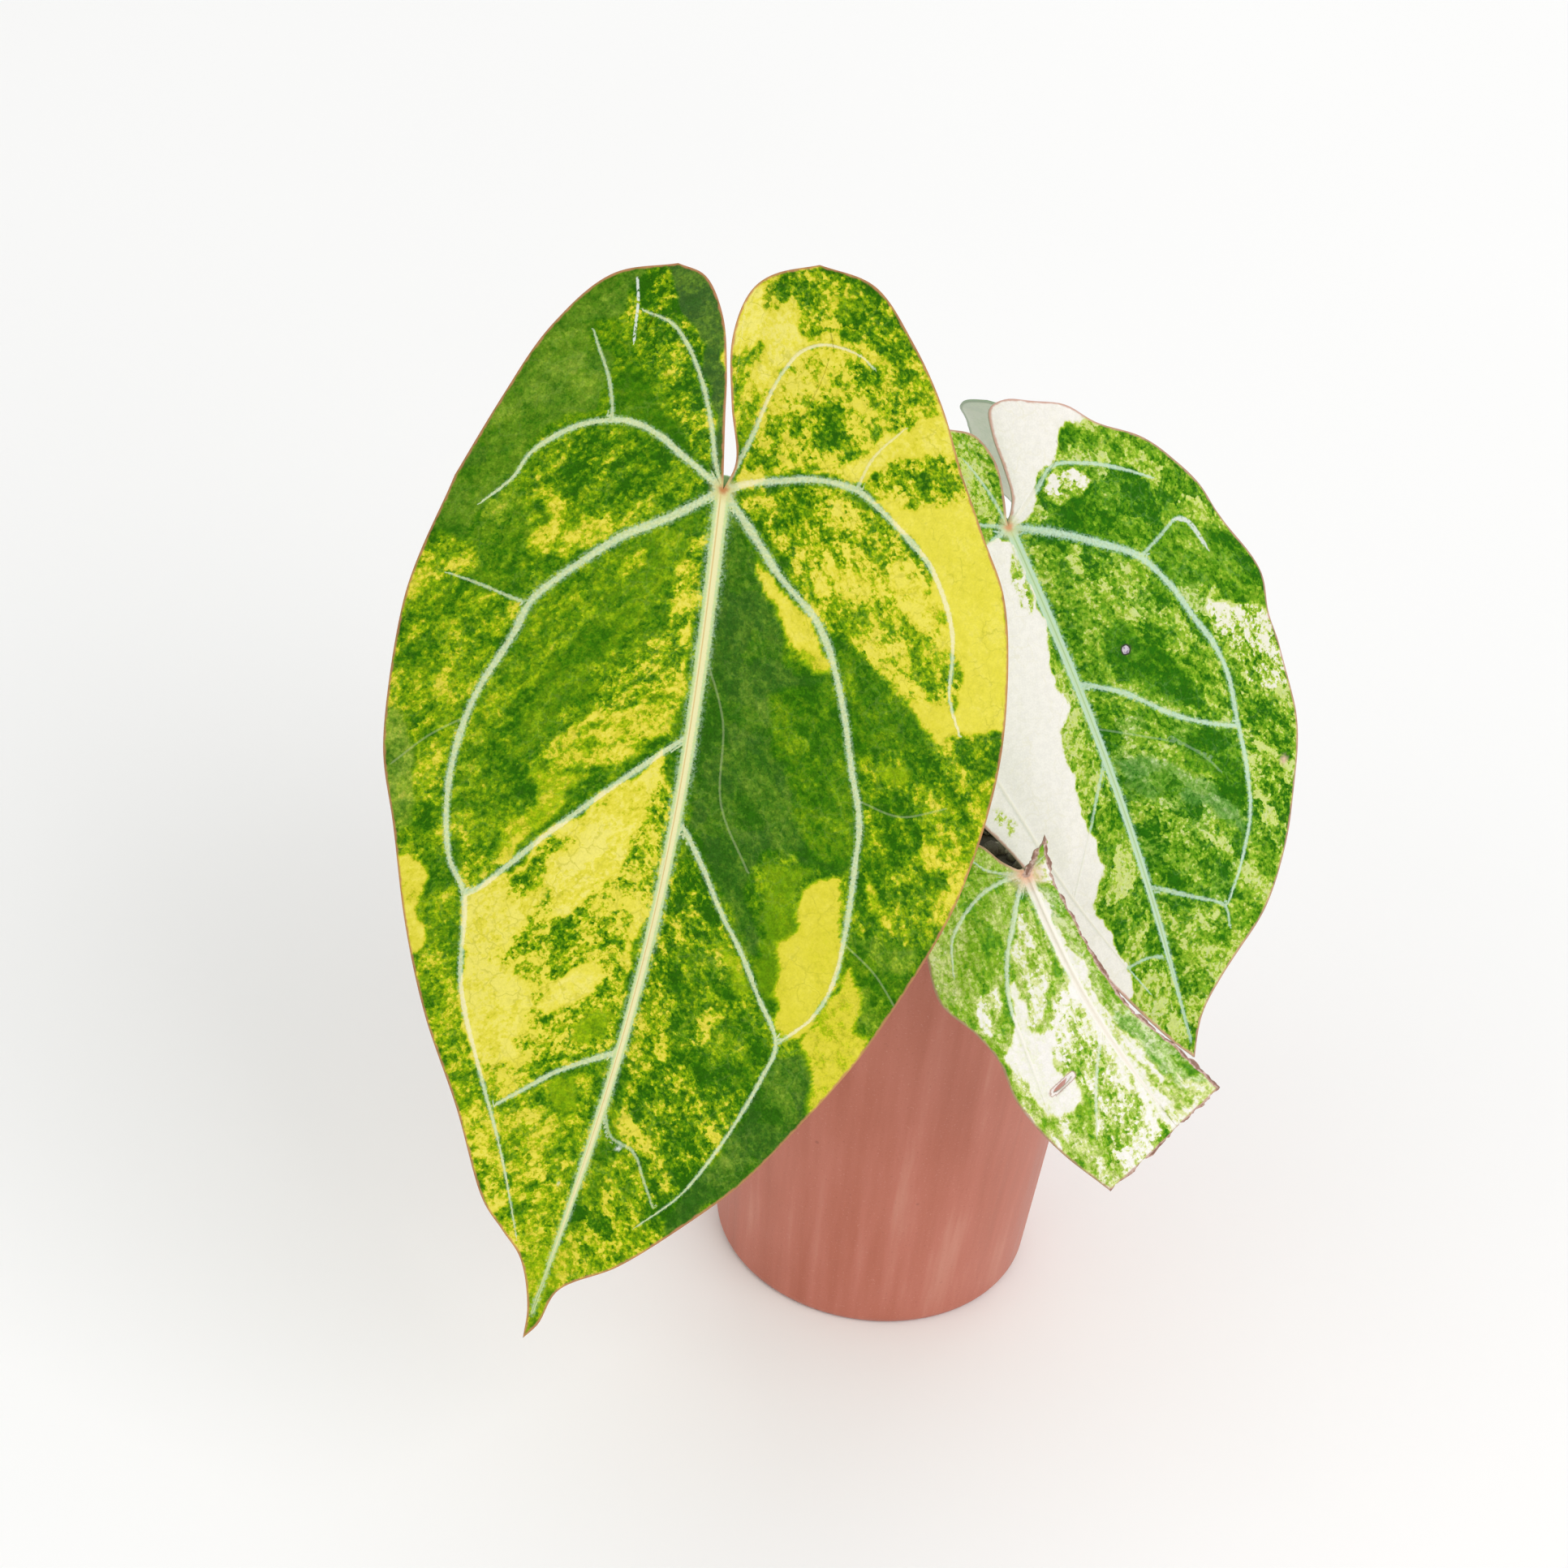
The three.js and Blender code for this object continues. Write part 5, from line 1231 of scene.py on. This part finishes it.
class LeafShading(Shading):
    """A blade's shading: what its layers of colour share."""

    def __init__(self, name):
        super().__init__(f"{name}_blade_finish", 0.45, 0.04, "2D")
        self.look = LEAF_LOOKS[name]
        self.plane = self.mesh_place("plane")
        self.streak = self.mesh_place("streak")
        self.small_cells = self.cells(self.plane, 0.42)
        self.clouds = self.noise(self.streak, 7.0, 6.0, 0.68)
        self.blot_place = self.swayed(self.streak, self.plane, 0.7, 4.0, 3.5)
        self.blots = self.parts(self.cells(self.blot_place, 3.6)["Color"])
        self.swing = self.tone_swing()
        self.zone_tone = self.attribute("tone")
        self.zone_pale = self.fade(self.zone_tone, 0.55, 0.75)
        self.tone = self.swung_tone()
        self.pale = self.fade(self.tone, 0.58, 0.72)
        self.ragged = self.jitter(0.45, 1.1, 3.0, 0.7)
        # A noise that spreads the silvery colour along the veins: partly the veins' own pale colour, partly a
        # painted sheen.
        self.silver = self.fade(self.noise(self.plane, 0.6, 3.0, 0.7), 0.4, 0.6)
        near = self.fade(self.attribute("near"), 0.7, 1.0)
        vein = self.blend(near, abs(self.attribute("flank")), self.attribute("vein"))
        self.vein = vein + self.ragged + self.jitter(4.0, 0.6, 1.0)
        self.from_dried = self.attribute("dried") + self.jitter(1.8, 1.8)
        self.dried = self.fade(self.from_dried, 0.7, 1.1, 1.0, 0.0)

    def jitter(self, size, reach, detail=2.0, roughness=0.5):
        """A noise on the blade, about zero."""
        return (self.noise(self.plane, size, detail, roughness) - 0.5) * reach

    def thin_line(self, name):
        """Distance from a thin line in half widths, and far from it where its sign jumps."""
        return abs(self.attribute(name)) + self.fade(self.attribute(f"{name}_near"), 3.0, 5.0, 0.0, FAR)

    def tone_swing(self):
        """Streaky clouds, ragged patches, fine grains and lone cells that move a zone's tone."""
        chips = self.parts(self.cells(self.blot_place, 1.3)["Color"])
        broken = (self.blots[0] - 0.5) * 0.9 + (chips[0] - 0.5) * 0.6
        patches = self.noise(self.streak, 2.2, 6.0, 0.72)
        grains = self.noise(self.small_cells["Position"], 0.8, 1.0, 0.5)
        lone = self.parts(self.small_cells["Color"])[0]
        swing = (self.clouds - 0.5) * self.look["cloud_share"]
        swing += broken * self.look["blot_share"]
        swing += (patches - 0.5) * 2.0
        swing += (grains - 0.5) * self.look["grain_share"]
        return swing + (lone - 0.5) * 0.24

    def swung_tone(self):
        """The zone's tone with its swing, and no flecks paler than the look allows."""
        tone = self.zone_tone + self.swing * (self.attribute("mottle") + 0.07)
        low, high = self.look["palest_fleck"], self.look["palest_mottle"]
        palest = self.maths("MAXIMUM", self.zone_tone + 0.05, self.fade(self.zone_tone, 0.5, 0.6, low, high))
        return self.maths("MINIMUM", tone, palest)


def ground_colour(s):
    """The blade's colour: warm, or bluish partly as a painted sheen, by the zone, with a fine grain of light
    and dark.
    """
    coolness = s.attribute("cool") + s.swing * 0.3
    coolness += (s.blots[1] - 0.6) * s.look["blot_share"] * 0.5
    coolness = s.fade(coolness, 0.1, 1.0, 0.0, 0.95)
    warm, cool = s.ramp(s.tone, s.look["warm"]), s.ramp(s.tone, s.look["cool"])
    grain = s.noise(s.plane, 0.32, 1.0, 0.5) + s.noise(s.plane, 1.3, 2.0, 0.6)
    shade = s.fade(grain, 0.75, 1.25, 0.84, 1.14)
    grey = s.add("ShaderNodeCombineColor", {0: shade, 1: shade, 2: shade})[0]
    share = s.fade(s.pale, 0, 1, 1.0, 0.22)
    return s.mix(share, s.mix(coolness, warm, cool), grey, "MULTIPLY")


def paint_net(s, colour):
    """The fine net of veins between the main ones."""
    bent = s.swayed(s.plane, s.plane, 0.45, 3.0, 4.0)
    coarse = s.fade(s.cells(bent, 3.2, "DISTANCE_TO_EDGE")["Distance"], 0.0, 0.08, 0.9, 0.0)
    fine = s.fade(s.cells(bent, 1.2, "DISTANCE_TO_EDGE")["Distance"], 0.0, 0.14, 0.25, 0.0)
    share = s.maths("MAXIMUM", coarse, fine) * s.fade(s.clouds, 0.4, 0.6)
    share *= s.fade(s.pale, 0, 1, 0.2, 0.6)
    return s.mix(share, colour, s.mix(s.pale, s.look["net_dark"], s.look["net_light"]))


def paint_veins(s, colour):
    """Pale lines with a ragged fringe, its silvery colour partly a painted sheen; creamier where the blade is
    pale.
    """
    look = s.look
    silver_sheen = s.fade(s.vein, 0.8, 1.7, 0.5, 0.0) * s.silver * s.fade(s.pale, 0, 1, 1, 0.2)
    colour = s.mix(silver_sheen, colour, look["silver"])
    hair = s.fade(s.thin_line("hair") + s.ragged, 0.5, 1.5, 0.18, 0.0)
    colour = s.mix(hair * s.fade(s.zone_pale, 0, 1, 1, 0.3), colour, look["vein"])
    granular = s.fade(s.vein, 0.2, 0.7, 0.35, 1.0) * s.silver
    line = s.mix(s.zone_pale, s.mix(granular, look["vein"], look["silver"]), look["vein_pale"])
    worn = s.fade(s.noise(s.plane, 0.5, 2.0, 0.7), 0.35, 0.65, 0.28, 0.0)
    line = s.mix(worn, line, colour)
    return s.mix(s.fade(s.vein, 0.55, 1.0, 0.92, 0.0) * s.attribute("strength"), colour, line)


def paint_midrib(s, colour):
    """A pale fringe, a creamy core and one thin darker line."""
    look = s.look
    middle = s.attribute("middle")
    away = abs(middle) + s.ragged * 0.25
    # The fringe's silvery colour is partly a painted sheen of the crystalline surface.
    fringe = s.mix(s.silver * 0.35, look["fringe"], look["silver"])
    fringe = s.mix(s.zone_pale, fringe, look["vein_pale"])
    colour = s.mix(s.fade(away, 0.68, 1.02, 0.9, 0.0), colour, fringe)
    colour = s.mix(s.fade(away, 0.35, 0.6, 0.9, 0.0), colour, look["core"])
    beside = abs(middle - look["line_at"])
    line = s.fade(beside, 0.3 * look["line_half"], 1.3 * look["line_half"], 0.6, 0.0)
    return s.mix(line, colour, look["line"])


def paint_margin(s, colour):
    edge = s.attribute("edge") + s.jitter(1.6, 0.5)
    return s.mix(s.fade(edge, 0.15, 0.55, 0.85, 0.0), colour, s.look["margin"])


def paint_heart(s, colour):
    """The spot over the petiole, and its pale surroundings."""
    reach = s.look["heart_reach"]
    away = s.length(s.plane) + s.jitter(1.2, 1.5)
    colour = s.mix(s.fade(away, 1.0, 2 * reach, 0.7, 0.0), colour, s.look["hub"])
    return s.mix(s.fade(away, 0.2, reach, 0.8, 0.0), colour, s.look["heart"])


def paint_scars(s, colour):
    """Silvery scratches, and silver, purple and tan specks."""
    spots = s.fade(s.noise(s.plane, 0.7), 0.3, 0.5)
    scratch = s.fade(s.thin_line("scratch") + s.ragged, 0.6, 1.5, 0.9, 0.0)
    colour = s.mix(s.maths("MAXIMUM", s.attribute("silver"), scratch) * spots, colour, "#DCE4DA")
    purple = s.attribute("purple")
    colour = s.mix(s.fade(purple, 0.1, 0.35), colour, "#3C4030")
    colour = s.mix(s.fade(purple, 0.45, 0.6), colour, s.mix(spots, "#7E6C88", "#CFC6CE"))
    return s.mix(s.attribute("tan"), colour, "#DDBFA0")


def paint_dried_edge(s, colour):
    """Brown where the margin has dried, darkest at its very edge."""
    stops = [(0.3, "#9C7666"), (0.5, "#C2A092"), (0.7, "#D8BFB2")]
    brown = s.ramp(s.noise(s.plane, 0.8, 3.0, 0.7), stops)
    brown = s.mix(s.fade(s.from_dried, 0.15, 0.45, 0.7, 0.0), brown, "#7E5A4A")
    return s.mix(s.dried, colour, brown)


def paint_slit_lips(s, colour):
    away = s.attribute("slit") + s.ragged * 0.3
    colour = s.mix(s.fade(away, 0.66, 0.92, 0.9, 0.0), colour, "#B99486")
    return s.mix(s.fade(away, 0.54, 0.7, 1.0, 0.0), colour, "#F3EBE4")


def paint_underside(s, colour):
    """Paler underside, veins standing out; the paleness is partly painted light shining through the blade."""
    # The underside's pale colour is partly the leaf's own and partly painted light shining through the blade.
    below = s.mix(0.9, colour, s.look["under"])
    below = s.mix(s.fade(s.attribute("vein"), 0.8, 1.5, 0.5, 0.0), below, "#DCE6C6")
    below = s.mix(s.fade(s.attribute("edge"), 0.2, 0.8, 0.5, 0.0), below, "#7E9A72")
    return s.mix(s.attribute("under"), colour, below)


def blade_surface(s):
    """Roughness, duller where dried, and height: a crystalline grain and raised veins."""
    rough = s.fade(s.noise(s.plane, 2.2, 3.0, 0.6), 0.3, 0.7, 0.42, 0.58) + s.dried * 0.3
    crystal = s.noise(s.plane, 0.3) * 0.7 + s.small_cells["Distance"]
    crystal *= s.fade(s.pale, 0, 1, 0.2, 0.05)
    return rough, crystal + s.fade(s.vein, 0.0, 1.4, 1.2, 0.0)


def leaf_material(name):
    """Variegated blade: toned zones broken into ragged patches, veins, margin, and a pale underside."""
    s = LeafShading(name)
    colour = ground_colour(s)
    for paint in (paint_net, paint_veins, paint_midrib, paint_margin, paint_heart, paint_scars,
                  paint_dried_edge, paint_slit_lips, paint_underside):
        colour = paint(s, colour)
    rough, height = blade_surface(s)
    return s.finish(colour, rough, height, 0.0002, 0.4)


def pot_material():
    """Satin terracotta-coloured plastic, a fine speckle, and soft upright streaks: painted reflections."""
    s = Shading("pot_finish", 0.42, 0.45)
    where = s.place()
    streaks = s.noise(s.place(45), 4.5, 3.0, 0.55)
    speckle = s.noise(where, 0.45, 2.0, 0.7)
    # The lighter and darker upright streaks in the colour are painted reflections of the bright surroundings;
    # in the relief they are shallow ridges.
    tone = streaks * 0.75 + s.noise(where, 22) * 0.25
    colour = s.ramp(tone, [(0.3, "#B06048"), (0.45, "#B96A54"), (0.56, "#C0725E"), (0.7, "#CA8672")])
    colour = s.mix(s.fade(speckle, 0.6, 0.75, 0.0, 0.35), colour, "#D9A090")
    colour = s.mix(s.fade(speckle, 0.25, 0.38, 0.4, 0.0), colour, "#8E4636")
    # Small darker spots: painted shade in small dents, which have no relief of their own.
    dent_shade = s.cells(where, 9)["Distance"]
    colour = s.mix(s.fade(dent_shade, 0.02, 0.06, 0.5, 0.0), colour, "#8A4A3C")
    rough = s.fade(streaks, 0.3, 0.7, 0.36, 0.52)
    return s.finish(colour, rough, streaks * 1.6 + speckle * 0.25, 0.0003, 0.35)


def mix_material():
    """Dark, damp potting mix: each lump has its own tone."""
    s = Shading("potting_mix_finish", 0.85, 0.3)
    grit = s.noise(s.place(), 0.9, 4.0, 0.7)
    stops = [(0.15, "#2C2924"), (0.3, "#5A544A"), (0.55, "#827B6D"), (0.8, "#A69F8F"), (0.95, "#C8C0AE")]
    colour = s.ramp(s.attribute("lump") * 0.85 + grit * 0.35, stops)
    return s.finish(colour, s.fade(grit, 0.3, 0.7, 0.6, 0.95), grit, 0.0008, 0.8)


def stalk_material(name, low, high, flush):
    """Petiole or crown: fibrous green, flushed brown towards its foot."""
    s = Shading(name, 0.45, 0.4)
    where = s.place()
    along = s.attribute("along")
    strands = s.noise(s.place(90), 0.7, 3.0, 0.6)
    colour = s.mix(s.fade(strands, 0.3, 0.7), low, high)
    foot = along + (s.noise(where, 3, 3.0, 0.6) - 0.5) * 0.3
    colour = s.mix(s.fade(foot, 0.0, 0.3, 0.85, 0.0), colour, flush)
    colour = s.mix(s.fade(along, 0.86, 0.98, 0.0, 0.75), colour, "#A6C48C")
    dots = s.noise(where, 0.5, 2.0, 0.6)
    colour = s.mix(s.fade(dots, 0.62, 0.72, 0.0, 0.45), colour, "#D4D9AE")
    return s.finish(colour, s.fade(strands, 0.3, 0.7, 0.38, 0.6), strands, 0.0004, 0.4)


def floor_material():
    s = Shading("studio_floor", 0.9, 0.1)
    return s.finish(s.ramp(s.noise(s.place(), 400), [(0.3, "#FBFBFA"), (0.7, "#FDFDFC")]))


# Leaves
def leaf_matrix(leaf):
    place = Matrix.Translation(Vector(leaf["sinus"]))
    azimuth = Matrix.Rotation(math.radians(leaf["azimuth"]), 4, "Z")
    slope = Matrix.Rotation(math.radians(leaf["slope"]), 4, "X")
    turn = Matrix.Rotation(math.radians(leaf["turn"]), 4, "Z")
    return place @ azimuth @ slope @ turn


def placed(leaf, points):
    """Points of a leaf's plane, and their heights over it, in the part's frame."""
    matrix = np.array(leaf_matrix(leaf))
    return points @ matrix[:3, :3].T + matrix[:3, 3]


def make_blade(leaf, material):
    """A closed sheet, thinner towards its margin, with all that its material reads."""
    points, shares, faces = torn_plan(leaf)
    veins, above, below = vein_shape(leaf, points)
    edge = margin_distance(leaf, points)
    swell = SWELL_HEIGHT * (1 - np.exp(-((veins["near"] / SWELL_REACH) ** 2)))
    buckle = BUCKLE * wander(points, BUCKLE_WAVE)[:, 0] * np.minimum(shares * 2, 1)
    centre = blade_height(leaf, *points.T) + swell + buckle
    rim = np.minimum(shares * 20, 1) * np.clip(edge / MARGIN_ROUND, 0, 1)
    half = (BLADE_THICK + (MARGIN_THICK - BLADE_THICK) * shares) / 2
    half = half * (0.55 + 0.45 * rim)
    sheet, polygons = two_sided(points, faces, centre + half + above, centre - half - below)
    name = leaf["name"]
    piece = make_piece(f"{name}_skin", placed(leaf, sheet), polygons, material, [f"{name}_blade"])
    for key, value in {**blade_marks(leaf, points), **veins, "edge": edge}.items():
        set_attribute(piece, key, np.concatenate([value, value]))
    set_attribute(piece, "under", np.repeat([0.0, 1.0], len(points)))


def petiole_path(leaf):
    """A petiole's line, its foot, and the direction in which it leaves the crown."""
    petiole = leaf["petiole"]
    angle = math.radians(petiole["angle"])
    outward = Vector((math.cos(angle), math.sin(angle), 0))
    out = (outward * petiole["lean"] + Vector((0, 0, 1))).normalized()
    foot = outward * CROWN_RADIUS / 2 + Vector((0, 0, MIX_LEVEL + 0.4 * CROWN_ABOVE)) + out * SHEATH_LENGTH
    matrix = leaf_matrix(leaf)
    end = matrix @ Vector((0, petiole["join"], -BLADE_THICK / 2 - JOIN_BELOW))
    normal = matrix.col[2].xyz
    handles = [foot, foot + out * petiole["reach"], end - normal * petiole["behind"], end]
    share = np.linspace(0, 1, PETIOLE_STEPS + 1)[:, None]
    rest = 1 - share
    a, b, c, d = (np.array(handle) for handle in handles)
    line = a * rest**3 + 3 * b * share * rest**2 + 3 * c * share**2 * rest + d * share**3
    return line, np.array(foot), np.array(out)


def petiole(leaf, material):
    """A grooved stalk with a waist, and a wrinkled knee under the blade."""
    line, _, _ = petiole_path(leaf)
    share = np.linspace(0, 1, len(line))
    waist = 0.18 * np.sin(np.pi * np.minimum(share / 0.85, 1))
    knee = 0.16 * smoothstep((share - 0.84) / 0.05)
    wrinkles = 0.03 * np.sin(share * 380) * (share > 0.87)
    ends = 0.25 * smoothstep(1 - (1 - share) / 0.02)
    radius = leaf["petiole"]["radius"] * (1 - waist + knee + wrinkles - ends)
    groove = 1 - ridge(PETIOLE_SIDES, 0.14, 0.45)
    points, faces = tube(line, [value * groove for value in radius], PETIOLE_SIDES)
    name = leaf["name"]
    piece = make_piece(f"{name}_stalk", points, faces, material, [f"{name}_petiole"])
    set_attribute(piece, "along", np.repeat(share, PETIOLE_SIDES))


# Crown: the stem, and a sheath round each petiole's foot
def stem_shape():
    top, foot = MIX_LEVEL + CROWN_ABOVE, MIX_LEVEL - CROWN_BURIED
    profile = [(0, foot), (CROWN_RADIUS - 1.5, foot), (CROWN_RADIUS, foot + 1.5)]
    for height in np.linspace(foot + 2, top - 2, CROWN_STEPS):
        scar = 0.35 * math.sin(height * 2.1) ** 8
        profile.append((CROWN_RADIUS - 0.25 + scar, height))
    profile += [(CROWN_RADIUS - 1.2, top - 1), (CROWN_RADIUS - 3, top), (0, top + 0.2)]
    points, faces = lathe(profile, CROWN_SIDES)
    points[:, :2] *= np.array([1 + 0.05 * noise.noise(Vector(point) * 0.4) for point in points])[:, None]
    return points, faces


def sheath_shape(leaf, share):
    _, end, out = petiole_path(leaf)
    line = end - out * SHEATH_LENGTH * (1 - share[:, None]) + out * 1.5 * share[:, None] ** 2
    reach = leaf["petiole"]["radius"] * (SHEATH_FLARE + (SHEATH_TIP - SHEATH_FLARE) * share)
    fold = 1 + 0.05 * np.sin(5 * ring_angles(SHEATH_SIDES)) + ridge(SHEATH_SIDES, 0.1, 0.3)
    return tube(line, [value * fold for value in reach], SHEATH_SIDES)


def crown(material):
    stem = stem_shape()
    share = np.linspace(0, 1, SHEATH_STEPS)
    points, faces = joined([stem] + [sheath_shape(leaf, share) for leaf in LEAVES])
    sheath_along = np.repeat(0.15 + 0.35 * share, SHEATH_SIDES)
    piece = make_piece("crown_sheaths", points, faces, material, ["crown"])
    along = [np.full(len(stem[0]), CROWN_TONE)] + [sheath_along] * len(LEAVES)
    set_attribute(piece, "along", np.concatenate(along))


# Pot: a moulded shell with a stepped rim band and six drain holes
def pot_profile():
    base, body, rim = POT_BASE_RADIUS, BODY_TOP_RADIUS, POT_RIM_RADIUS
    outer = [(0, 0), (base - 3, 0), (base - 3, FOOT_GROOVE), (base - 2, FOOT_GROOVE), (base - 1.6, 0),
             (base - 0.6, 0), (base, 1.2), (body, BODY_TOP - 0.6), (body + 0.4, BODY_TOP),
             (rim - 0.5, BODY_TOP + 0.8), (rim, POT_HEIGHT - 1.2), (rim - 0.4, POT_HEIGHT)]
    inner = [(rim - POT_WALL, POT_HEIGHT), (rim - POT_WALL - 0.5, BODY_TOP + POT_WALL),
             (body - POT_WALL, BODY_TOP - POT_WALL), (base - POT_WALL, POT_FLOOR), (0, POT_FLOOR)]
    return rounded(outer + inner, POT_EDGE)


def drain_cutter():
    """A ring of cylinders through the pot's floor."""
    mesh = bpy.data.meshes.new("drain_cutter")
    shape = bmesh.new()
    for angle in ring_angles(DRAIN_HOLES):
        at = Vector((DRAIN_CIRCLE * math.cos(angle), DRAIN_CIRCLE * math.sin(angle), POT_FLOOR / 2)) * MM
        bmesh.ops.create_cone(
            shape, cap_ends=True, segments=DRAIN_SIDES, radius1=DRAIN_RADIUS * MM,
            radius2=DRAIN_RADIUS * MM, depth=3 * POT_FLOOR * MM, matrix=Matrix.Translation(at))
    shape.to_mesh(mesh)
    shape.free()
    return new_object("drain_cutter", mesh)


def subtract(piece, cutter):
    """Cuts one object out of the piece and removes it."""
    cut = piece.modifiers.new("cut", "BOOLEAN")
    cut.operation = "DIFFERENCE"
    cut.solver = "EXACT"
    cut.object = cutter
    with bpy.context.temp_override(object=piece, active_object=piece, selected_objects=[piece]):
        bpy.ops.object.modifier_apply(modifier=cut.name)
    mesh = cutter.data
    bpy.data.objects.remove(cutter)
    bpy.data.meshes.remove(mesh)


def pot_shell():
    points, faces = lathe(pot_profile(), POT_SIDES)
    piece = make_piece("pot_shell", points, faces, pot_material(), ["pot"])
    subtract(piece, drain_cutter())
    piece.data.polygons.foreach_set("use_smooth", [True] * len(piece.data.polygons))
    piece.data.set_sharp_from_angle(angle=math.radians(SHARP_ANGLE))


# Potting mix: a core that fills the pot, covered with lumps and grit
def mix_height(radius):
    """Height of the mounded mix, without its pebbles, this far from the pot's axis."""
    share = radius / (BODY_TOP_RADIUS - POT_WALL)
    return MIX_LEVEL - MIX_EDGE_DROP + MIX_MOUND * (1 - share * share)


def mix_core():
    wall, foot = POT_BASE_RADIUS - POT_WALL - MIX_CLEARANCE, POT_FLOOR + MIX_CLEARANCE
    profile = [(0, foot), (wall, foot), (MIX_RADIUS, MIX_SHOULDER)]
    for share in np.linspace(0.97, 0.06, MIX_RINGS):
        profile.append((MIX_RADIUS * share, mix_height(MIX_RADIUS * share)))
    profile.append((0, mix_height(0)))
    points, faces = lathe(profile, MIX_SIDES)
    surface = points[:, 2] > MIX_SHOULDER + 0.1
    points[surface, 2] += [0.5 * noise.noise(Vector((x / 2, y / 2, 4))) for x, y, _ in points[surface]]
    return points, faces


def lump_shape():
    shape = bmesh.new()
    bmesh.ops.create_icosphere(shape, subdivisions=2, radius=1)
    points = np.array([vert.co for vert in shape.verts])
    faces = [[vert.index for vert in face.verts] for face in shape.faces]
    shape.free()
    return points, faces


def pebble(dice, unit, number):
    """The points of one lump: a bumpy, squashed ball somewhere on the mix."""
    nearest, farthest = CROWN_RADIUS + 1.2, MIX_RADIUS - 1.6
    radius = math.sqrt(dice.uniform(nearest**2, farthest**2))
    angle = dice.uniform(0, 2 * math.pi)
    size = dice.choice(PEBBLE_SIZES) * dice.uniform(0.85, 1.15)
    stretch = np.array([dice.uniform(0.8, 1.25), dice.uniform(0.8, 1.25), dice.uniform(0.55, 0.85)])
    spin = Matrix.Rotation(dice.uniform(0, 2 * math.pi), 3, "Z")
    tilt = Matrix.Rotation(dice.uniform(-0.5, 0.5), 3, "X")
    shift = Vector((number, 0, 0))
    bumps = np.array([1 + PEBBLE_BUMPS * noise.noise(Vector(point) * 1.3 + shift) for point in unit])
    points = (unit * bumps[:, None] * stretch * size) @ np.array(spin @ tilt).T
    return points + [radius * math.cos(angle), radius * math.sin(angle), mix_height(radius) + 0.25 * size]


def potting_mix():
    core = mix_core()
    unit, unit_faces = lump_shape()
    shapes = [core]
    tones = [np.full(len(core[0]), MIX_TONE)]
    dice = random.Random(SEED)
    for number in range(PEBBLES):
        shapes.append((pebble(dice, unit, number), unit_faces))
        tones.append(np.full(len(unit), dice.random() ** 1.6))
    points, faces = joined(shapes)
    piece = make_piece("mix_surface", points, faces, mix_material(), ["potting_mix"])
    set_attribute(piece, "lump", np.concatenate(tones))


# Camera, floor and light
def place_camera():
    down, roll = math.radians(CAMERA_DOWN), math.radians(CAMERA_ROLL)
    ahead = Vector((0, math.cos(down), -math.sin(down)))
    level = Vector((1, 0, 0))
    upright = Vector((0, math.sin(down), math.cos(down)))
    right = math.cos(roll) * level + math.sin(roll) * upright
    up = -math.sin(roll) * level + math.cos(roll) * upright
    camera = new_object("camera", bpy.data.cameras.new("camera"))
    camera.data.sensor_width = SENSOR_WIDTH
    camera.data.sensor_fit = "HORIZONTAL"
    camera.data.lens = SENSOR_WIDTH * FOCAL_PIXELS / PHOTO_SIZE
    camera.data.clip_start = 0.01
    turn = Matrix((right, up, -ahead)).transposed().to_4x4()
    camera.matrix_world = Matrix.Translation(Vector(CAMERA_AT) * MM) @ turn
    bpy.context.scene.camera = camera


def place_floor():
    mesh = bpy.data.meshes.new("floor")
    signs = [(-1, -1), (1, -1), (1, 1), (-1, 1)]
    corners = [(x * FLOOR_REACH, y * FLOOR_REACH, FLOOR_LEVEL) for x, y in signs]
    mesh.from_pydata(corners, [], [(0, 1, 2, 3)])
    mesh.materials.append(floor_material())
    floor = new_object("floor", mesh)


def place_light(name, at, power, size):
    light = bpy.data.lights.new(name, "AREA")
    light.energy = power
    light.size = size
    lamp = new_object(name, light)
    lamp.location = at
    lamp.rotation_euler = (Vector(LIGHTS_AIM) - Vector(at)).to_track_quat("-Z", "Y").to_euler()


def place_world():
    world = bpy.data.worlds.new("studio")
    world.use_nodes = True
    background = world.node_tree.nodes["Background"]
    background.inputs[0].default_value = (1, 1, 1, 1)
    background.inputs[1].default_value = WORLD_LIGHT
    bpy.context.scene.world = world
    bpy.context.scene.view_settings.view_transform = "Standard"


place_camera()
place_floor()
for light_name, settings in LIGHTS.items():
    place_light(light_name, *settings)
place_world()
pot_shell()
potting_mix()
crown(stalk_material("crown_finish", "#6F7A3A", "#8F9450", "#6B5238"))
stalk_finish = stalk_material("petiole_finish", "#6E9238", "#8FAE52", "#9A7A54")
for leaf in LEAVES:
    petiole(leaf, stalk_finish)
    make_blade(leaf, leaf_material(leaf["name"]))
